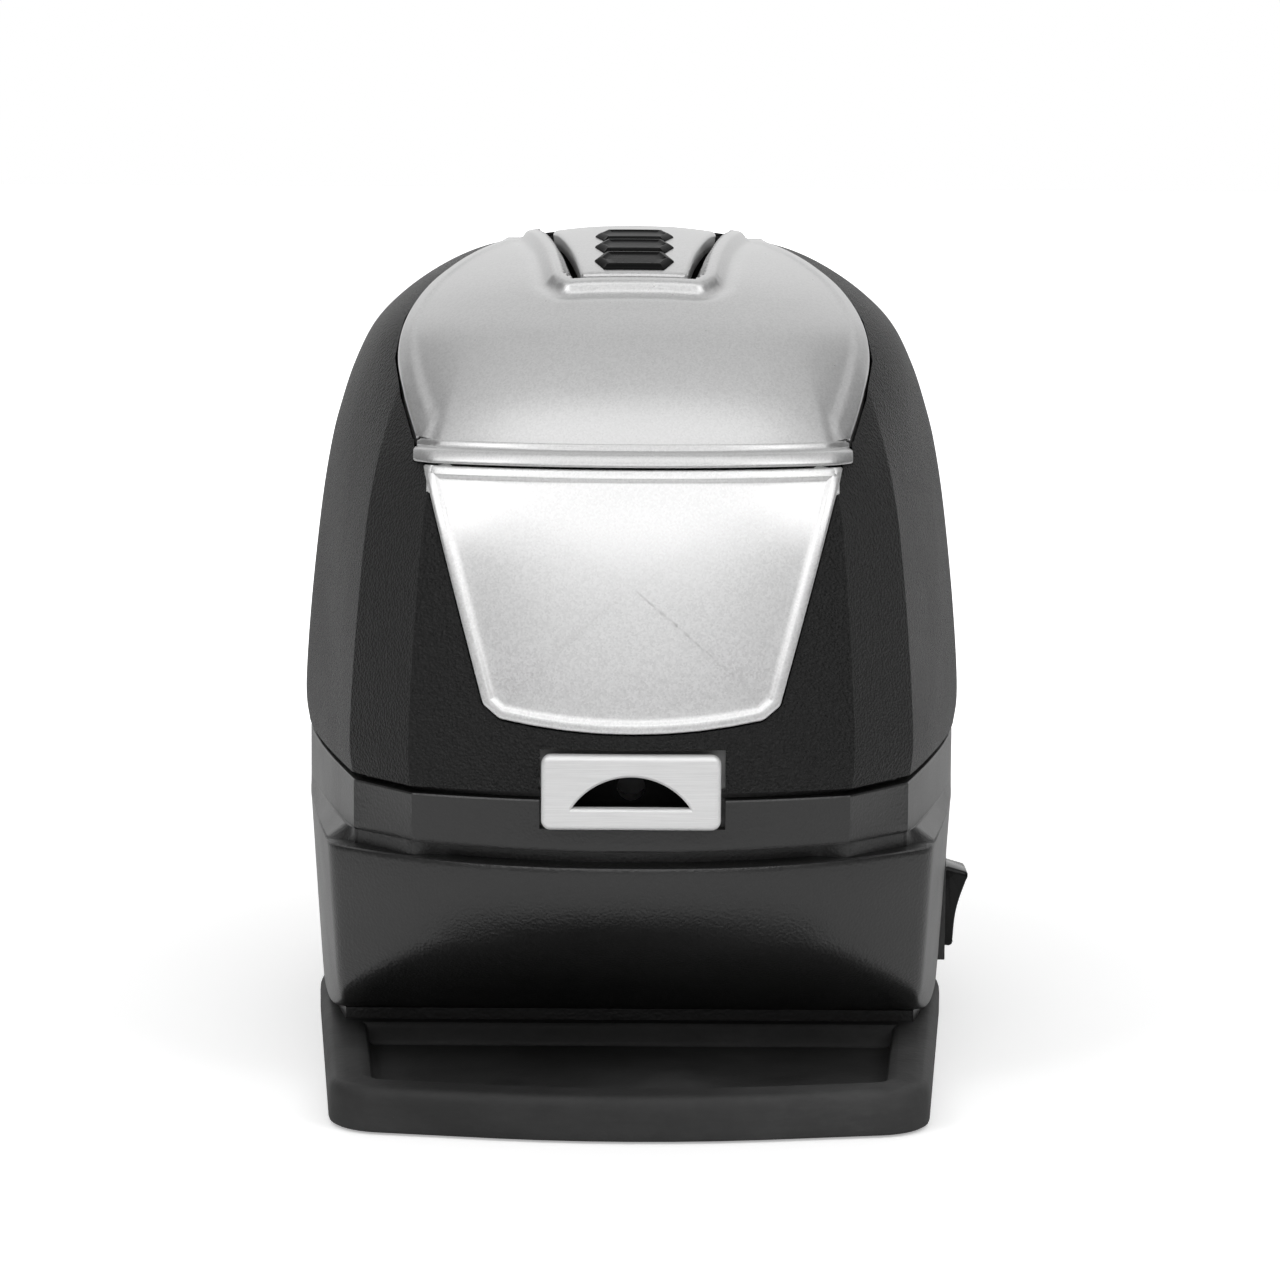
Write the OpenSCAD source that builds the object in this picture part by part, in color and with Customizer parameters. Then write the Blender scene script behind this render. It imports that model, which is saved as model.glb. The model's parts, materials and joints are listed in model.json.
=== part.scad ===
// Hot lather machine: a heated tabletop foam dispenser, front towards -Y, standing on z = 0.

/* [Body shell] */
// Widest width of the body
body_w = 150.6; // [140:0.2:170]
// Front of the body, measured forward from the origin
body_front = 105; // [98:1:118]
// Rear of the body, measured back from the origin
body_rear = 104; // [98:1:120]
// Height of the highest point of the dome
top_z = 184; // [180:1:200]
// Height of the split line between the two housings
split_z = 71; // [68:0.5:74]
// Wall thickness of the moulded shells
wall = 2.5; // [2:0.1:3]
// Width of the lower housing at the split line
lower_w = 148.4; // [138:0.2:150]
// Width of the lower housing at its foot
foot_w = 143; // [134:0.2:145]
// Half width at the inner crease
crease_in_x = 46.8; // [42:0.2:50]
// Depth lost from the front at the inner crease
crease_in_back = 8.7; // [5:0.1:12]
// Half width at the outer crease
crease_out_x = 60.2; // [56:0.2:64]
// Depth lost from the front at the outer crease
crease_out_back = 26.1; // [20:0.1:32]

/* [Belly and groove] */
// Height of the groove's upper edge under the band
groove_top = 58.5; // [57:0.5:61]
// How much further back the inner crease lies at the bottom of the band
band_fall = 3.6; // [0:0.2:4]
// Height of the groove
groove_h = 3.1; // [2:0.1:4]
// Depth of the groove
groove_d = 1.4; // [1:0.1:1.8]
// Height at which the belly starts to roll under
roll_z = 50; // [46:0.5:52]
// Front edge of the foot under the belly, measured forward from the origin
foot_front = 47; // [44:1:54]
// Half width at the belly's front corner
belly_x = 64.5; // [61:0.5:67]
// Depth lost from the front at the belly's corner
belly_back = 27.5; // [22:0.5:32]

/* [Base tray] */
// Height of the rubber base
base_h = 10; // [8:0.5:12]
// Width of the base at its front corners
base_front_w = 127; // [118:1:134]
// Largest width of the base
base_w = 144.6; // [138:0.2:150]
// Width of the base at its rear
base_rear_w = 136; // [130:1:138]
// Front of the base, measured forward from the origin
base_front = 120; // [114:1:128]
// Rear of the base, measured back from the origin
base_rear = 108; // [104:1:114]
// Width of the rim round the drip recess
rim_w = 9.5; // [8:0.5:12]
// Depth of the drip recess
recess_d = 5; // [3:0.5:6]
// Corner radius of the base
base_r = 13; // [10:1:18]
// Thickness of the bottom cover
cover_t = 2.5; // [2:0.1:3]

/* [Front panel] */
// Height of the panel's top edge
panel_top = 137.4; // [134:0.2:138]
// Height of the panel's lower corners
panel_low = 89; // [86:1:96]
// Half width of the panel at its top
panel_top_x = 44.2; // [40:0.2:46]
// Half width of the panel at its lower corners
panel_low_x = 31; // [27:0.5:34]
// Drop of the panel's bottom edge below its corners
panel_bow = 4.4; // [2:0.2:6]
// Height of the panel above the shell
panel_proud = 0.7; // [0.4:0.1:1]
// Depth of the panel in the shell
panel_sunk = 1.2; // [1:0.1:1.4]
// Width of the raised rim round the panel
panel_rim = 2.2; // [1.6:0.1:3]

/* [Lid] */
// Height of the line where the lid meets its lip
lid_z = 142.5; // [141:0.1:144]
// Height of the lip
lip_h = 4.6; // [4:0.1:5]
// Reach of the lip beyond the shell
lip_proud = 1.8; // [1:0.1:2.4]
// Half width of the lip
lip_x = 46; // [43:0.5:48]
// Largest half width of the lid
lid_x = 51.5; // [49:0.5:54]
// Half width of the lid at its hinge end
lid_rear_x = 30.5; // [30:0.5:32]
// Gap round the lid
lid_gap = 0.6; // [0.5:0.1:0.8]
// Height of the lid hinge axis
hinge_z = 178.5; // [178:0.1:179]
// Distance of the lid hinge axis behind the origin
hinge_y = 6; // [5:0.5:8]
// Radius of the lid hinge pin
hinge_pin_r = 1.5; // [1.2:0.1:1.7]
// Outer radius of the hinge barrel
hinge_barrel_r = 3.5; // [3.2:0.1:3.8]

/* [Push button] */
// Half width of the button at its front
button_front_x = 11.6; // [10.6:0.2:12.4]
// Half width of the button at its rear
button_rear_x = 18.6; // [17.6:0.2:19]
// Front end of the button, measured forward from the origin
button_front = 44; // [42:0.5:46]
// Rear end of the button, measured back from the origin
button_rear = 8; // [7:0.5:9]
// Travel of the button
button_travel = 2.5; // [2:0.1:3]
// Thickness of the button's cap
button_t = 4; // [3.4:0.1:4.4]
// Width of the gap between the button and its well
button_gap = 0.8; // [0.6:0.1:1]
// Radius of the guide posts
post_r = 2.5; // [2:0.1:2.8]
// Distance of each guide post from the middle
post_x = 8; // [7.6:0.1:8.4]
// Distance of the guide posts in front of the origin
post_front = 20; // [16:0.5:24]
// Half width of each hexagonal grip from point to point
grip_x = 8.6; // [8:0.1:9]
// Distance from one grip to the next
grip_pitch = 10; // [9.6:0.1:11]

/* [Nozzle] */
// Width of the nozzle plate
plate_w = 37.4; // [34:0.2:40]
// Height of the nozzle plate
plate_h = 15.7; // [14.6:0.1:17]
// Thickness of the nozzle plate
plate_t = 3; // [2.4:0.1:3.4]
// Reach of the nozzle plate beyond the shell
plate_proud = 1.8; // [1:0.1:2.2]
// Height of the nozzle plate's middle
plate_z = 71.4; // [70:0.1:72]
// Width of the half-moon opening
moon_w = 24.8; // [20:0.2:26]
// Height of the half-moon opening
moon_h = 6.6; // [5:0.1:7]

/* [Rocker switch] */
// Height of the rocker's pivot
rocker_z = 28.3; // [27:0.1:31]
// Width of the rocker
rocker_w = 12; // [10:0.2:13]
// Height of the rocker
rocker_h = 18.6; // [17:0.2:20]
// Tilt of the rocker to each side
rocker_tilt = 12; // [8:0.5:13]
// Reach of the rocker's face from its pivot
rocker_face = 5; // [4:0.1:5.4]

/* [Inner works] */
// Inner radius of the whipping chamber
chamber_r = 16; // [13:0.5:16.5]
// Wall of the whipping chamber
chamber_wall = 4; // [3:0.5:4.5]
// Length of the whipping chamber
chamber_len = 38; // [32:1:40]
// Radius of the motor
motor_r = 18; // [14:0.5:19]
// Length of the motor
motor_len = 58; // [45:1:60]
// Radius of the drive shaft
shaft_r = 3; // [2.5:0.1:3.4]
// Radius of the heater cartridges
cartridge_r = 3; // [2.5:0.1:3.2]
// Width of the liquid tank
tank_w = 86; // [78:1:88]
// Depth of the liquid tank from front to back
tank_d = 60; // [50:1:62]
// Height of the liquid tank
tank_h = 44; // [36:1:45]
// Wall of the liquid tank
tank_wall = 2; // [1.6:0.1:2.6]

/* [Hidden] */

// Clearances
fit_gap = 0.3;    // between static pieces that are dropped into an opening
run_gap = 0.06;   // radial, between a shaft or pin and its bearing
eps = 0.01;

// One half of the plan outline, as fractions of the half width and of the depth.
front_steps = 4;
side_steps = 4;
rear_steps = 5;
side_power = 1.3;
rear_power = 3;
half_w = body_w / 2;
cx1 = crease_in_x / half_w;
cy1 = 1 - crease_in_back / body_front;
cx2 = crease_out_x / half_w;
cy2 = 1 - crease_out_back / body_front;
function side_part(x2, y2) = concat(
    [for (i = [0:side_steps - 1]) let (t = 1 - i / side_steps) [1 - (1 - x2) * pow(t, side_power), -y2 * t]],
    [for (i = [0:rear_steps]) let (a = 90 * i / rear_steps)
        [pow(cos(a), 2 / rear_power), pow(sin(a), 2 / rear_power)]]);
function creased(y1) = concat(
    [for (i = [0:front_steps]) let (x = cx1 * i / front_steps) [x, -1 + (1 - y1) * pow(x / cx1, 2)]],
    side_part(cx2, cy2));
half_plan = creased(cy1);
band_plan = creased(cy1 - band_fall / body_front);
// the belly's front is one smooth curve from corner to corner
belly_power = 2.4;
belly_steps = 7;
belly_plan = concat(
    [for (i = [0:belly_steps - 1]) let (t = pow(i / belly_steps, 0.7))
        [belly_x / half_w * t, -1 + belly_back / body_front * pow(t, belly_power)]],
    side_part(belly_x / half_w, 1 - belly_back / body_front));
half_n = len(half_plan);

// The dome's creases melt into a plain rounded outline towards the top.
round_power = 2.5;
fade_from = 0.45;
fade_to = 0.86;
function round_radius(a) =
    1 / pow(pow(abs(sin(a)), round_power) + pow(abs(cos(a)), round_power), 1 / round_power);
function rounded(p) = let (a = atan2(p[0], -p[1])) [sin(a), -cos(a)] * round_radius(a);
function fade(u) = let (t = min(1, max(0, (u - fade_from) / (fade_to - fade_from)))) t * t * (3 - 2 * t);
function mixed(p, f) = p * (1 - f) + rounded(p) * f;
function both_sides(half) =
    concat(half, [for (i = [len(half) - 2:-1:1]) [-half[i][0], half[i][1]]]);
// Outline at half width w, front depth f and rear depth r, crease fade m
function outline(w, f, r, m, half = half_plan) = both_sides([for (p = half) let (q = mixed(p, m))
    [max(0, q[0]) * w, q[1] * (q[1] < 0 ? f : r)]]);

// Stations of the dome: height, width, front depth and rear depth, each as a fraction.
dome_stations = [[0, 0.99, 1, 1], [0.07, 1, 0.999, 0.998], [0.24, 0.983, 0.981, 0.985],
    [0.44, 0.95, 0.943, 0.945], [0.567, 0.919, 0.893, 0.895], [0.646, 0.889, 0.838, 0.845],
    [0.73, 0.846, 0.765, 0.775], [0.81, 0.785, 0.667, 0.68], [0.867, 0.705, 0.56, 0.575],
    [0.915, 0.605, 0.45, 0.465], [0.952, 0.495, 0.334, 0.35], [0.976, 0.37, 0.225, 0.24],
    [0.991, 0.24, 0.13, 0.14], [1, 0.12, 0.05, 0.06]];
dome_h = top_z - split_z;

module dome(off = 0) {
    points = [for (s = dome_stations) let (z = split_z + s[0] * dome_h - off * s[0])
        for (p = outline(s[1] * half_w - off, s[2] * body_front - off, s[3] * body_rear - off, fade(s[0])))
            [p[0], p[1], z]];
    ring = half_n * 2 - 2;
    rows = len(dome_stations);
    hull() polyhedron(points = points, faces = concat(
        [for (j = [0:rows - 2], i = [0:ring - 1])
            [j * ring + i, j * ring + (i + 1) % ring, (j + 1) * ring + (i + 1) % ring, (j + 1) * ring + i]],
        [[for (i = [ring - 1:-1:0]) i]], [[for (i = [0:ring - 1]) (rows - 1) * ring + i]]));
}

// The lower housing: a straight band, a groove under it at the front, and a belly with
// fuller front corners that narrows towards the foot.
cover_top = base_h + cover_t;
belly_top = groove_top - groove_h;
module slab(w, f, r, z, half) {
    translate([0, 0, z]) linear_extrude(eps) polygon(outline(w, f, r, 0, half));
}
module lower_plan(off) {
    w = lower_w / 2 - off;
    rear = body_rear - off;
    union() {
        // the band's inner crease falls back a little towards the groove
        hull() {
            slab(w, body_front - off, rear, groove_top - off, band_plan);
            slab(w, body_front - off, rear, split_z + off - eps, half_plan);
        }
        translate([0, 0, belly_top - wall - 2]) linear_extrude(groove_h + 2 * wall + 4) intersection() {
            polygon(outline(w, body_front - groove_d - off, rear, 0, band_plan));
            polygon(outline(w, body_front - groove_d - off, rear, 0, belly_plan));
        }
        hull() {
            slab(foot_w / 2 - off, body_front - off, rear, cover_top, belly_plan);
            slab(w, body_front - off, rear, belly_top - off - eps, belly_plan);
        }
    }
}
// Side profile of the belly, rolling under in an arc from the front wall to the foot.
roll_steps = 8;
module belly_profile(off = 0) {
    roll_d = body_front - foot_front;
    drop = roll_z - cover_top;
    points = concat([[body_rear + 10, split_z + 10], [-body_front - 10, split_z + 10],
            [-body_front - 10, roll_z], [-body_front + off, roll_z]],
        [for (i = [1:roll_steps]) let (a = 90 * i / roll_steps)
            [-foot_front - roll_d * cos(a) + off * cos(a), roll_z - (drop - off) * sin(a)]],
        [[body_rear + 10, cover_top + off]]);
    translate([half_w + 10, 0, 0]) rotate([90, 0, -90]) mirror([1, 0, 0])
        linear_extrude(body_w + 20) polygon(points);
}
module lower_form(off = 0) {
    intersection() {
        lower_plan(off);
        belly_profile(off);
    }
}

// Plan of the base: two rear corners, two front corners and a bowed front edge.
front_corner_back = 22.8;
bow_steps = 4;
module base_plan(inset = 0) {
    hull() {
        for (s = [-1, 1]) {
            translate([s * (base_rear_w / 2 - base_r), base_rear - base_r]) circle(r = base_r - inset, $fn = 32);
            translate([s * (base_w / 2 - base_r), 0]) circle(r = base_r - inset, $fn = 32);
            translate([s * (base_front_w / 2 - base_r), -base_front + front_corner_back - base_r / 4])
                circle(r = base_r - inset, $fn = 32);
        }
        for (i = [-bow_steps:bow_steps]) let (t = i / bow_steps)
            translate([t * (base_front_w / 2 - base_r), -base_front + base_r + 8 * t * t])
                circle(r = base_r - inset, $fn = 32);
    }
}

screw_spots = [[-46, -32], [46, -32], [-46, 78], [46, 78]];
foot_spots = [[-50, -92], [50, -92], [-56, 88], [56, 88]];
screw_r = 1.9;
screw_head_r = 3.8;
foot_h = 1.2;
foot_sunk = foot_h;
foot_r = 8;
foot_z = foot_h - foot_sunk;
vent_count = 9;
slot_w = 3;
slot_l = 30;
slots_y = 20;
slots_w = 2 * slot_w * vent_count;
channel_w = 24;
channel_h = 2.5;

module base_tray() {
    color("#2b2b2b") difference() {
        union() {
            translate([0, 0, foot_z]) linear_extrude(base_h - foot_z - 1) base_plan();
            translate([0, 0, base_h - 1 - eps]) linear_extrude(1 + eps) base_plan(0.8);
        }
        // drip recess under the nozzle, open from the front rim to the foot of the housing
        intersection() {
            translate([0, 0, base_h - recess_d]) linear_extrude(recess_d + 1) base_plan(rim_w);
            translate([-half_w, -base_front, 0]) cube([body_w, base_front - foot_front - 4, base_h + 2]);
        }
        for (p = screw_spots) translate([p[0], p[1], -1]) cylinder(r = screw_head_r + fit_gap, h = base_h + 3, $fn = 32);
        for (p = foot_spots) translate([p[0], p[1], -1]) cylinder(r = foot_r + fit_gap, h = 1 + foot_sunk, $fn = 48);
        // air window under the cover's slots, and a shallow channel from it to the rear edge
        translate([-slots_w / 2, slots_y, -1]) cube([slots_w, slot_l, base_h + 2]);
        translate([-channel_w / 2, slots_y, -1]) cube([channel_w, base_rear, 1 + channel_h]);
    }
}

module rubber_feet() {
    color("#1c1c1c") for (p = foot_spots) translate([p[0], p[1], 0]) cylinder(r = foot_r, h = foot_h, $fn = 48);
}

module foot_outline(inset) {
    intersection() {
        polygon(outline(foot_w / 2 - inset, body_front, body_rear - inset, 0));
        translate([-half_w, -foot_front]) square([body_w, body_rear + foot_front]);
    }
}
module bottom_cover() {
    color("#333333") difference() {
        translate([0, 0, base_h]) linear_extrude(cover_t) foot_outline(1);
        for (p = screw_spots) translate([p[0], p[1], 0]) cylinder(r = screw_r + fit_gap, h = 30, $fn = 32);
        // air slots under the motor
        for (i = [0:vent_count - 1]) translate([(i - (vent_count - 1) / 2) * 2 * slot_w - slot_w / 2, slots_y, 0])
            cube([slot_w, slot_l, cover_top + 1]);
    }
}

boss_r = 4.5;
boss_h = 14;
module cover_screws() {
    color("#8c8c8c") for (p = screw_spots) translate([p[0], p[1], base_h - 2.4]) difference() {
        union() {
            cylinder(r = screw_head_r, h = 2.4, $fn = 32);
            cylinder(r = screw_r, h = 12, $fn = 32);
        }
        translate([0, 0, -1]) cylinder(r = 1.5, h = 2.2, $fn = 6);
    }
}

// Power inlet, in the middle of the rear wall
inlet_z = 36;
inlet_w = 27;
inlet_h = 19.6;
inlet_seat = body_rear - 1.2;
inlet_cavity = 14;

// Rocker switch, on the right-hand side wall
rocker_seat = lower_w / 2 - 3.2;
rocker_pivot_x = rocker_seat + 0.6;
frame_t = 1.8;
frame_w = rocker_w + 5;
frame_h = rocker_h + 6;

module nozzle_pocket(gap) {
    translate([-plate_w / 2 - gap, -body_front - 5, plate_z - plate_h / 2 - gap])
        cube([plate_w + 2 * gap, 12, plate_h + 2 * gap]);
}

module lower_housing() {
    color("#1e1e1e") union() {
        difference() {
            lower_form();
            translate([0, 0, -eps]) difference() {
                lower_form(wall);
                translate([-half_w, -body_front, cover_top - 1]) cube([body_w, body_front - foot_front, 1]);
            }
            // foot opening over the bottom cover
            translate([0, 0, cover_top - 1]) linear_extrude(wall + 2) foot_outline(wall + 3);
            nozzle_pocket(fit_gap);
            // rocker opening with a flat seat
            translate([rocker_seat, -frame_w / 2 - fit_gap, rocker_z - frame_h / 2 - fit_gap])
                cube([10, frame_w + 2 * fit_gap, frame_h + 2 * fit_gap]);
            translate([rocker_seat - 8, -rocker_w / 2 - 1.8, rocker_z - rocker_h / 2 - 2.3])
                cube([10, rocker_w + 3.6, rocker_h + 4.6]);
            // power inlet opening with a flat seat
            translate([-17.3, inlet_seat, inlet_z - 13.3]) cube([34.6, 10, 26.6]);
            translate([-inlet_w / 2 - fit_gap, inlet_seat - 8, inlet_z - inlet_h / 2 - fit_gap])
                cube([inlet_w + 2 * fit_gap, 10, inlet_h + 2 * fit_gap]);
        }
        for (p = screw_spots) translate([p[0], p[1], cover_top]) difference() {
            cylinder(r = boss_r, h = boss_h, $fn = 32);
            translate([0, 0, -1]) cylinder(r = screw_r, h = boss_h - 2, $fn = 32);
        }
        // gusset that ties each boss to the side wall
        intersection() {
            lower_form(wall / 2);
            for (p = screw_spots) translate([p[0] > 0 ? p[0] + boss_r - 0.5 : p[0] - boss_r + 0.5 - 40, p[1] - 1, cover_top])
                cube([40, 2, boss_h - 4]);
        }
    }
}

for_side = [-1, 1];
// Lid outline from above: lip corners, widest point, hinge horns, and the notch round the button
notch_front_x = button_front_x + 3.7;
notch_rear_x = button_rear_x + 3;
notch_y = -button_front - 3;
lid_rear_y = hinge_y - 3;
module lid_outline(grow = 0) {
    difference() {
        polygon(both_ways([[lip_x + grow, -body_front - 10], [lip_x + grow, -76], [lid_x - 1.9 + grow, -63],
            [lid_x + grow, -50], [lid_x - 1.5 + grow, -38], [lid_x - 5.5 + grow, -27],
            [lid_x - 11 + grow, -18.5], [lid_x - 16.5 + grow, -10.5], [lid_rear_x + grow, -2],
            [lid_rear_x + grow, lid_rear_y + grow]]));
        polygon(both_ways([[notch_front_x - 2.5 - grow, notch_y + grow], [notch_front_x - grow, notch_y + 2 + grow],
            [(notch_front_x + notch_rear_x) / 2 - 1 - grow, notch_y / 2], [notch_rear_x - grow, lid_rear_y - 4],
            [notch_rear_x - grow, lid_rear_y + 20]]));
    }
}
function both_ways(right) =
    concat(right, [for (i = [len(right) - 1:-1:0]) [-right[i][0], right[i][1]]]);

module panel_outline(grow = 0) {
    polygon(both_ways(concat([[panel_top_x + grow, panel_top + grow], [panel_low_x + grow, panel_low]],
        [[panel_low_x - 1.2 + grow, panel_low - 1.8 - grow]],
        [for (i = [1:5]) let (t = i / 5)
            [(panel_low_x - 4) * (1 - t) , panel_low - 2.6 - (panel_bow - 2.6) * (1 - pow(1 - t, 2)) - grow]])));
}
module panel_prism(grow = 0) {
    translate([0, -body_front / 2, 0]) rotate([90, 0, 0]) linear_extrude(body_front) panel_outline(grow);
}

module upper_housing() {
    color("#242424") union() {
        difference() {
            dome();
            translate([0, 0, -eps]) dome(wall);
            // opening under the lid
            translate([0, 0, lid_z - lid_gap]) linear_extrude(body_w) lid_outline(lid_gap);
            translate([-lip_x - lid_gap, -body_front - 5, lid_z - lip_h - fit_gap])
                cube([2 * (lip_x + lid_gap), body_front / 2, lip_h + fit_gap]);
            // opening round the button
            translate([-notch_rear_x, notch_y, lid_z])
                cube([2 * notch_rear_x, button_rear + button_gap - notch_y, body_w]);
            // room for the hinge horns to turn
            for (s = for_side) translate([s * (notch_rear_x + lid_rear_x) / 2, hinge_y, hinge_z])
                rotate([0, 90, 0]) cylinder(r = hinge_barrel_r + 2, h = lid_rear_x - notch_rear_x + 2.4,
                    center = true, $fn = 48);
            nozzle_pocket(fit_gap);
            difference() {
                panel_prism(fit_gap);
                dome(panel_sunk + 0.1);
            }
        }
    }
}

module front_panel() {
    color("#d9d9d9") difference() {
        intersection() {
            dome(-panel_proud);
            panel_prism();
        }
        dome(panel_sunk);
        // the field lies a little lower than the rim
        difference() {
            intersection() {
                dome(-panel_proud - 1);
                panel_prism(-panel_rim);
            }
            dome(-panel_proud + 0.6);
        }
    }
}

module half_moon(h) {
    // flat sill below, arc above
    r = (moon_w * moon_w / 4 + moon_h * moon_h) / (2 * moon_h);
    sill = plate_z - moon_h / 2;
    rotate([90, 0, 0]) linear_extrude(h) intersection() {
        translate([0, sill + moon_h - r]) circle(r = r, $fn = 96);
        translate([-moon_w / 2, sill]) square([moon_w, moon_h + 1]);
    }
}
plate_front = -body_front - plate_proud;
plate_back = plate_front + plate_t;
plate_r = 1.8;
plate_bevel = 0.6;
module plate_form(w, h, t) {
    rotate([90, 0, 0]) linear_extrude(t) union() {
        square([w - 2 * plate_r, h], center = true);
        square([w, h - 2 * plate_r], center = true);
        for (x = for_side, z = for_side) translate([x * (w / 2 - plate_r), z * (h / 2 - plate_r)])
            circle(r = plate_r, $fn = 32);
    }
}
module nozzle_plate() {
    color("#e8e8e8") difference() {
        union() {
            translate([0, plate_back, plate_z]) plate_form(plate_w, plate_h, plate_t - plate_bevel);
            translate([0, plate_front + plate_bevel, plate_z])
                plate_form(plate_w - plate_bevel * 2, plate_h - plate_bevel * 2, plate_bevel);
        }
        translate([0, plate_back + 1, 0]) half_moon(plate_t + 2);
    }
}

block_front = plate_back + 6;
block_back = block_front + 18;
chamber_front = block_back;
chamber_back = chamber_front + chamber_len;
duct_r = 4;
insert_w = 34;
insert_h = 13;
mouth_floor = 1;
module nozzle_insert() {
    color("#303030") difference() {
        translate([-insert_w / 2, plate_back, plate_z - insert_h / 2]) cube([insert_w, block_front - plate_back, insert_h]);
        translate([0, block_front - mouth_floor, 0]) half_moon(8);
        translate([0, block_front + 1, plate_z]) rotate([90, 0, 0]) cylinder(r = duct_r - 1, h = 8, $fn = 48);
    }
}

block_w = 44;
block_h = 24;
cartridge_z = plate_z - 8;
module heater_block() {
    color("#b5b5b5") difference() {
        translate([-block_w / 2, block_front, plate_z - block_h / 2]) cube([block_w, block_back - block_front, block_h]);
        translate([0, block_back + 1, plate_z]) rotate([90, 0, 0])
            cylinder(r = duct_r, h = block_back - block_front + 2, $fn = 48);
        for (y = [block_front + 5, block_back - 5]) translate([-block_w / 2 - 1, y, cartridge_z]) rotate([0, 90, 0])
            cylinder(r = cartridge_r, h = block_w + 2, $fn = 48);
        // cooling grooves across the top, clear of the thermostat's seat
        for (s = for_side, i = [0:2]) translate([s * (11.5 + 3.5 * i) - 0.8, block_front - 1, plate_z + block_h / 2 - 2])
            cube([1.6, block_back - block_front + 2, 3]);
    }
}
module heater_cartridges() {
    color("#c9c9c9") for (y = [block_front + 5, block_back - 5])
        translate([-block_w / 2 - 4, y, cartridge_z]) rotate([0, 90, 0]) cylinder(r = cartridge_r, h = block_w + 8, $fn = 48);
}
module thermostat() {
    color("#dddddd") translate([0, (block_front + block_back) / 2, plate_z + block_h / 2]) union() {
        cylinder(r = 8, h = 4, $fn = 48);
        translate([0, 0, 4]) cylinder(r = 5.5, h = 3, $fn = 48);
        for (s = for_side) translate([s * 3 - 0.4, -1.5, 7]) cube([0.8, 3, 5]);
    }
}

chamber_or = chamber_r + chamber_wall;
front_wall = 5;
feed_y = chamber_back - 14;
feed_r = 4;
feed_bore = 2.5;
module whipping_chamber() {
    color("#cfcfcf") difference() {
        union() {
            translate([0, chamber_back, plate_z]) rotate([90, 0, 0]) cylinder(r = chamber_or, h = chamber_len, $fn = 96);
            // flange that bolts to the bracket
            translate([0, chamber_back, plate_z]) rotate([90, 0, 0]) cylinder(r = chamber_or + 4.5, h = 4, $fn = 96);
            translate([0, feed_y, plate_z + chamber_r]) cylinder(r = feed_r + 2.5, h = chamber_wall + 2, $fn = 48);
        }
        translate([0, chamber_back + 1, plate_z]) rotate([90, 0, 0])
            cylinder(r = chamber_r, h = chamber_len - front_wall + 1, $fn = 96);
        translate([0, chamber_front + front_wall + 1, plate_z]) rotate([90, 0, 0])
            cylinder(r = duct_r, h = front_wall + 2, $fn = 48);
        translate([0, feed_y, plate_z + chamber_r - 3]) cylinder(r = feed_bore, h = 20, $fn = 48);
        translate([0, feed_y, plate_z + chamber_or - 1]) cylinder(r = feed_r, h = 20, $fn = 48);
        for (p = chamber_bolts) translate([p[0], chamber_back + 1, plate_z + p[1]]) rotate([90, 0, 0])
            cylinder(r = bolt_r, h = 8, $fn = 32);
    }
}
bolt_r = 1.25;
chamber_bolts = [for (a = [45:90:315]) [(chamber_or + 2) * cos(a), (chamber_or + 2) * sin(a)]];
bracket_t = 4;
bracket_foot = 16;
bracket_w = 52;
bracket_top = plate_z + chamber_or + 4;
module chamber_bracket() {
    color("#8f9499") difference() {
        union() {
            translate([-bracket_w / 2, chamber_back, cover_top]) cube([bracket_w, bracket_t, bracket_top - cover_top]);
            translate([-bracket_w / 2, chamber_back, cover_top]) cube([bracket_w, bracket_foot, 3]);
            for (s = for_side) translate([s * 22 - 1.5, chamber_back + bracket_t, cover_top + 3]) rotate([90, 0, 90])
                linear_extrude(3) polygon([[0, 0], [11, 0], [0, 22]]);
        }
        translate([0, chamber_back + 10, plate_z]) rotate([90, 0, 0]) cylinder(r = seal_r, h = 20, $fn = 48);
        for (p = chamber_bolts) translate([p[0], chamber_back + 10, plate_z + p[1]]) rotate([90, 0, 0])
            cylinder(r = bolt_r, h = 20, $fn = 32);
        translate([-12, chamber_back - 1, cover_top + 10]) cube([24, bracket_t + 2, 16]);
    }
}
seal_r = 8;
module chamber_screws() {
    color("#8c8c8c") for (p = chamber_bolts) translate([p[0], chamber_back + bracket_t, plate_z + p[1]]) union() {
        rotate([90, 0, 0]) cylinder(r = bolt_r, h = bracket_t + 4, $fn = 32);
        rotate([-90, 0, 0]) cylinder(r = 2.3, h = 1.8, $fn = 32);
    }
}
module shaft_seal() {
    color("#3a3a3a") translate([0, chamber_back + bracket_t, plate_z]) rotate([90, 0, 0]) difference() {
        cylinder(r = seal_r, h = bracket_t, $fn = 48);
        translate([0, 0, -1]) cylinder(r = shaft_r + run_gap, h = bracket_t + 2, $fn = 48);
    }
}

coupling_room = 38;
motor_front = chamber_back + coupling_room;
motor_plate_t = 4;
coupling_r = 7;
coupling_len = 14;
coupling_y = (chamber_back + bracket_t + motor_front - motor_plate_t) / 2;
blade_count = 6;
module drive_shaft() {
    color("#bdbdbd") translate([0, motor_front + 6, plate_z]) rotate([90, 0, 0])
        cylinder(r = shaft_r, h = motor_front + 6 - chamber_front - front_wall - 3, $fn = 48);
}
module shaft_coupling() {
    color("#9a7d3c") translate([0, coupling_y + coupling_len / 2, plate_z]) rotate([90, 0, 0]) difference() {
        cylinder(r = coupling_r, h = coupling_len, $fn = 48);
        translate([0, 0, -1]) cylinder(r = shaft_r, h = coupling_len + 2, $fn = 48);
        for (z = [3.5, coupling_len - 3.5]) translate([0, 0, z]) rotate([0, 90, 0]) cylinder(r = 1.2, h = 10, $fn = 24);
    }
}
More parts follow.
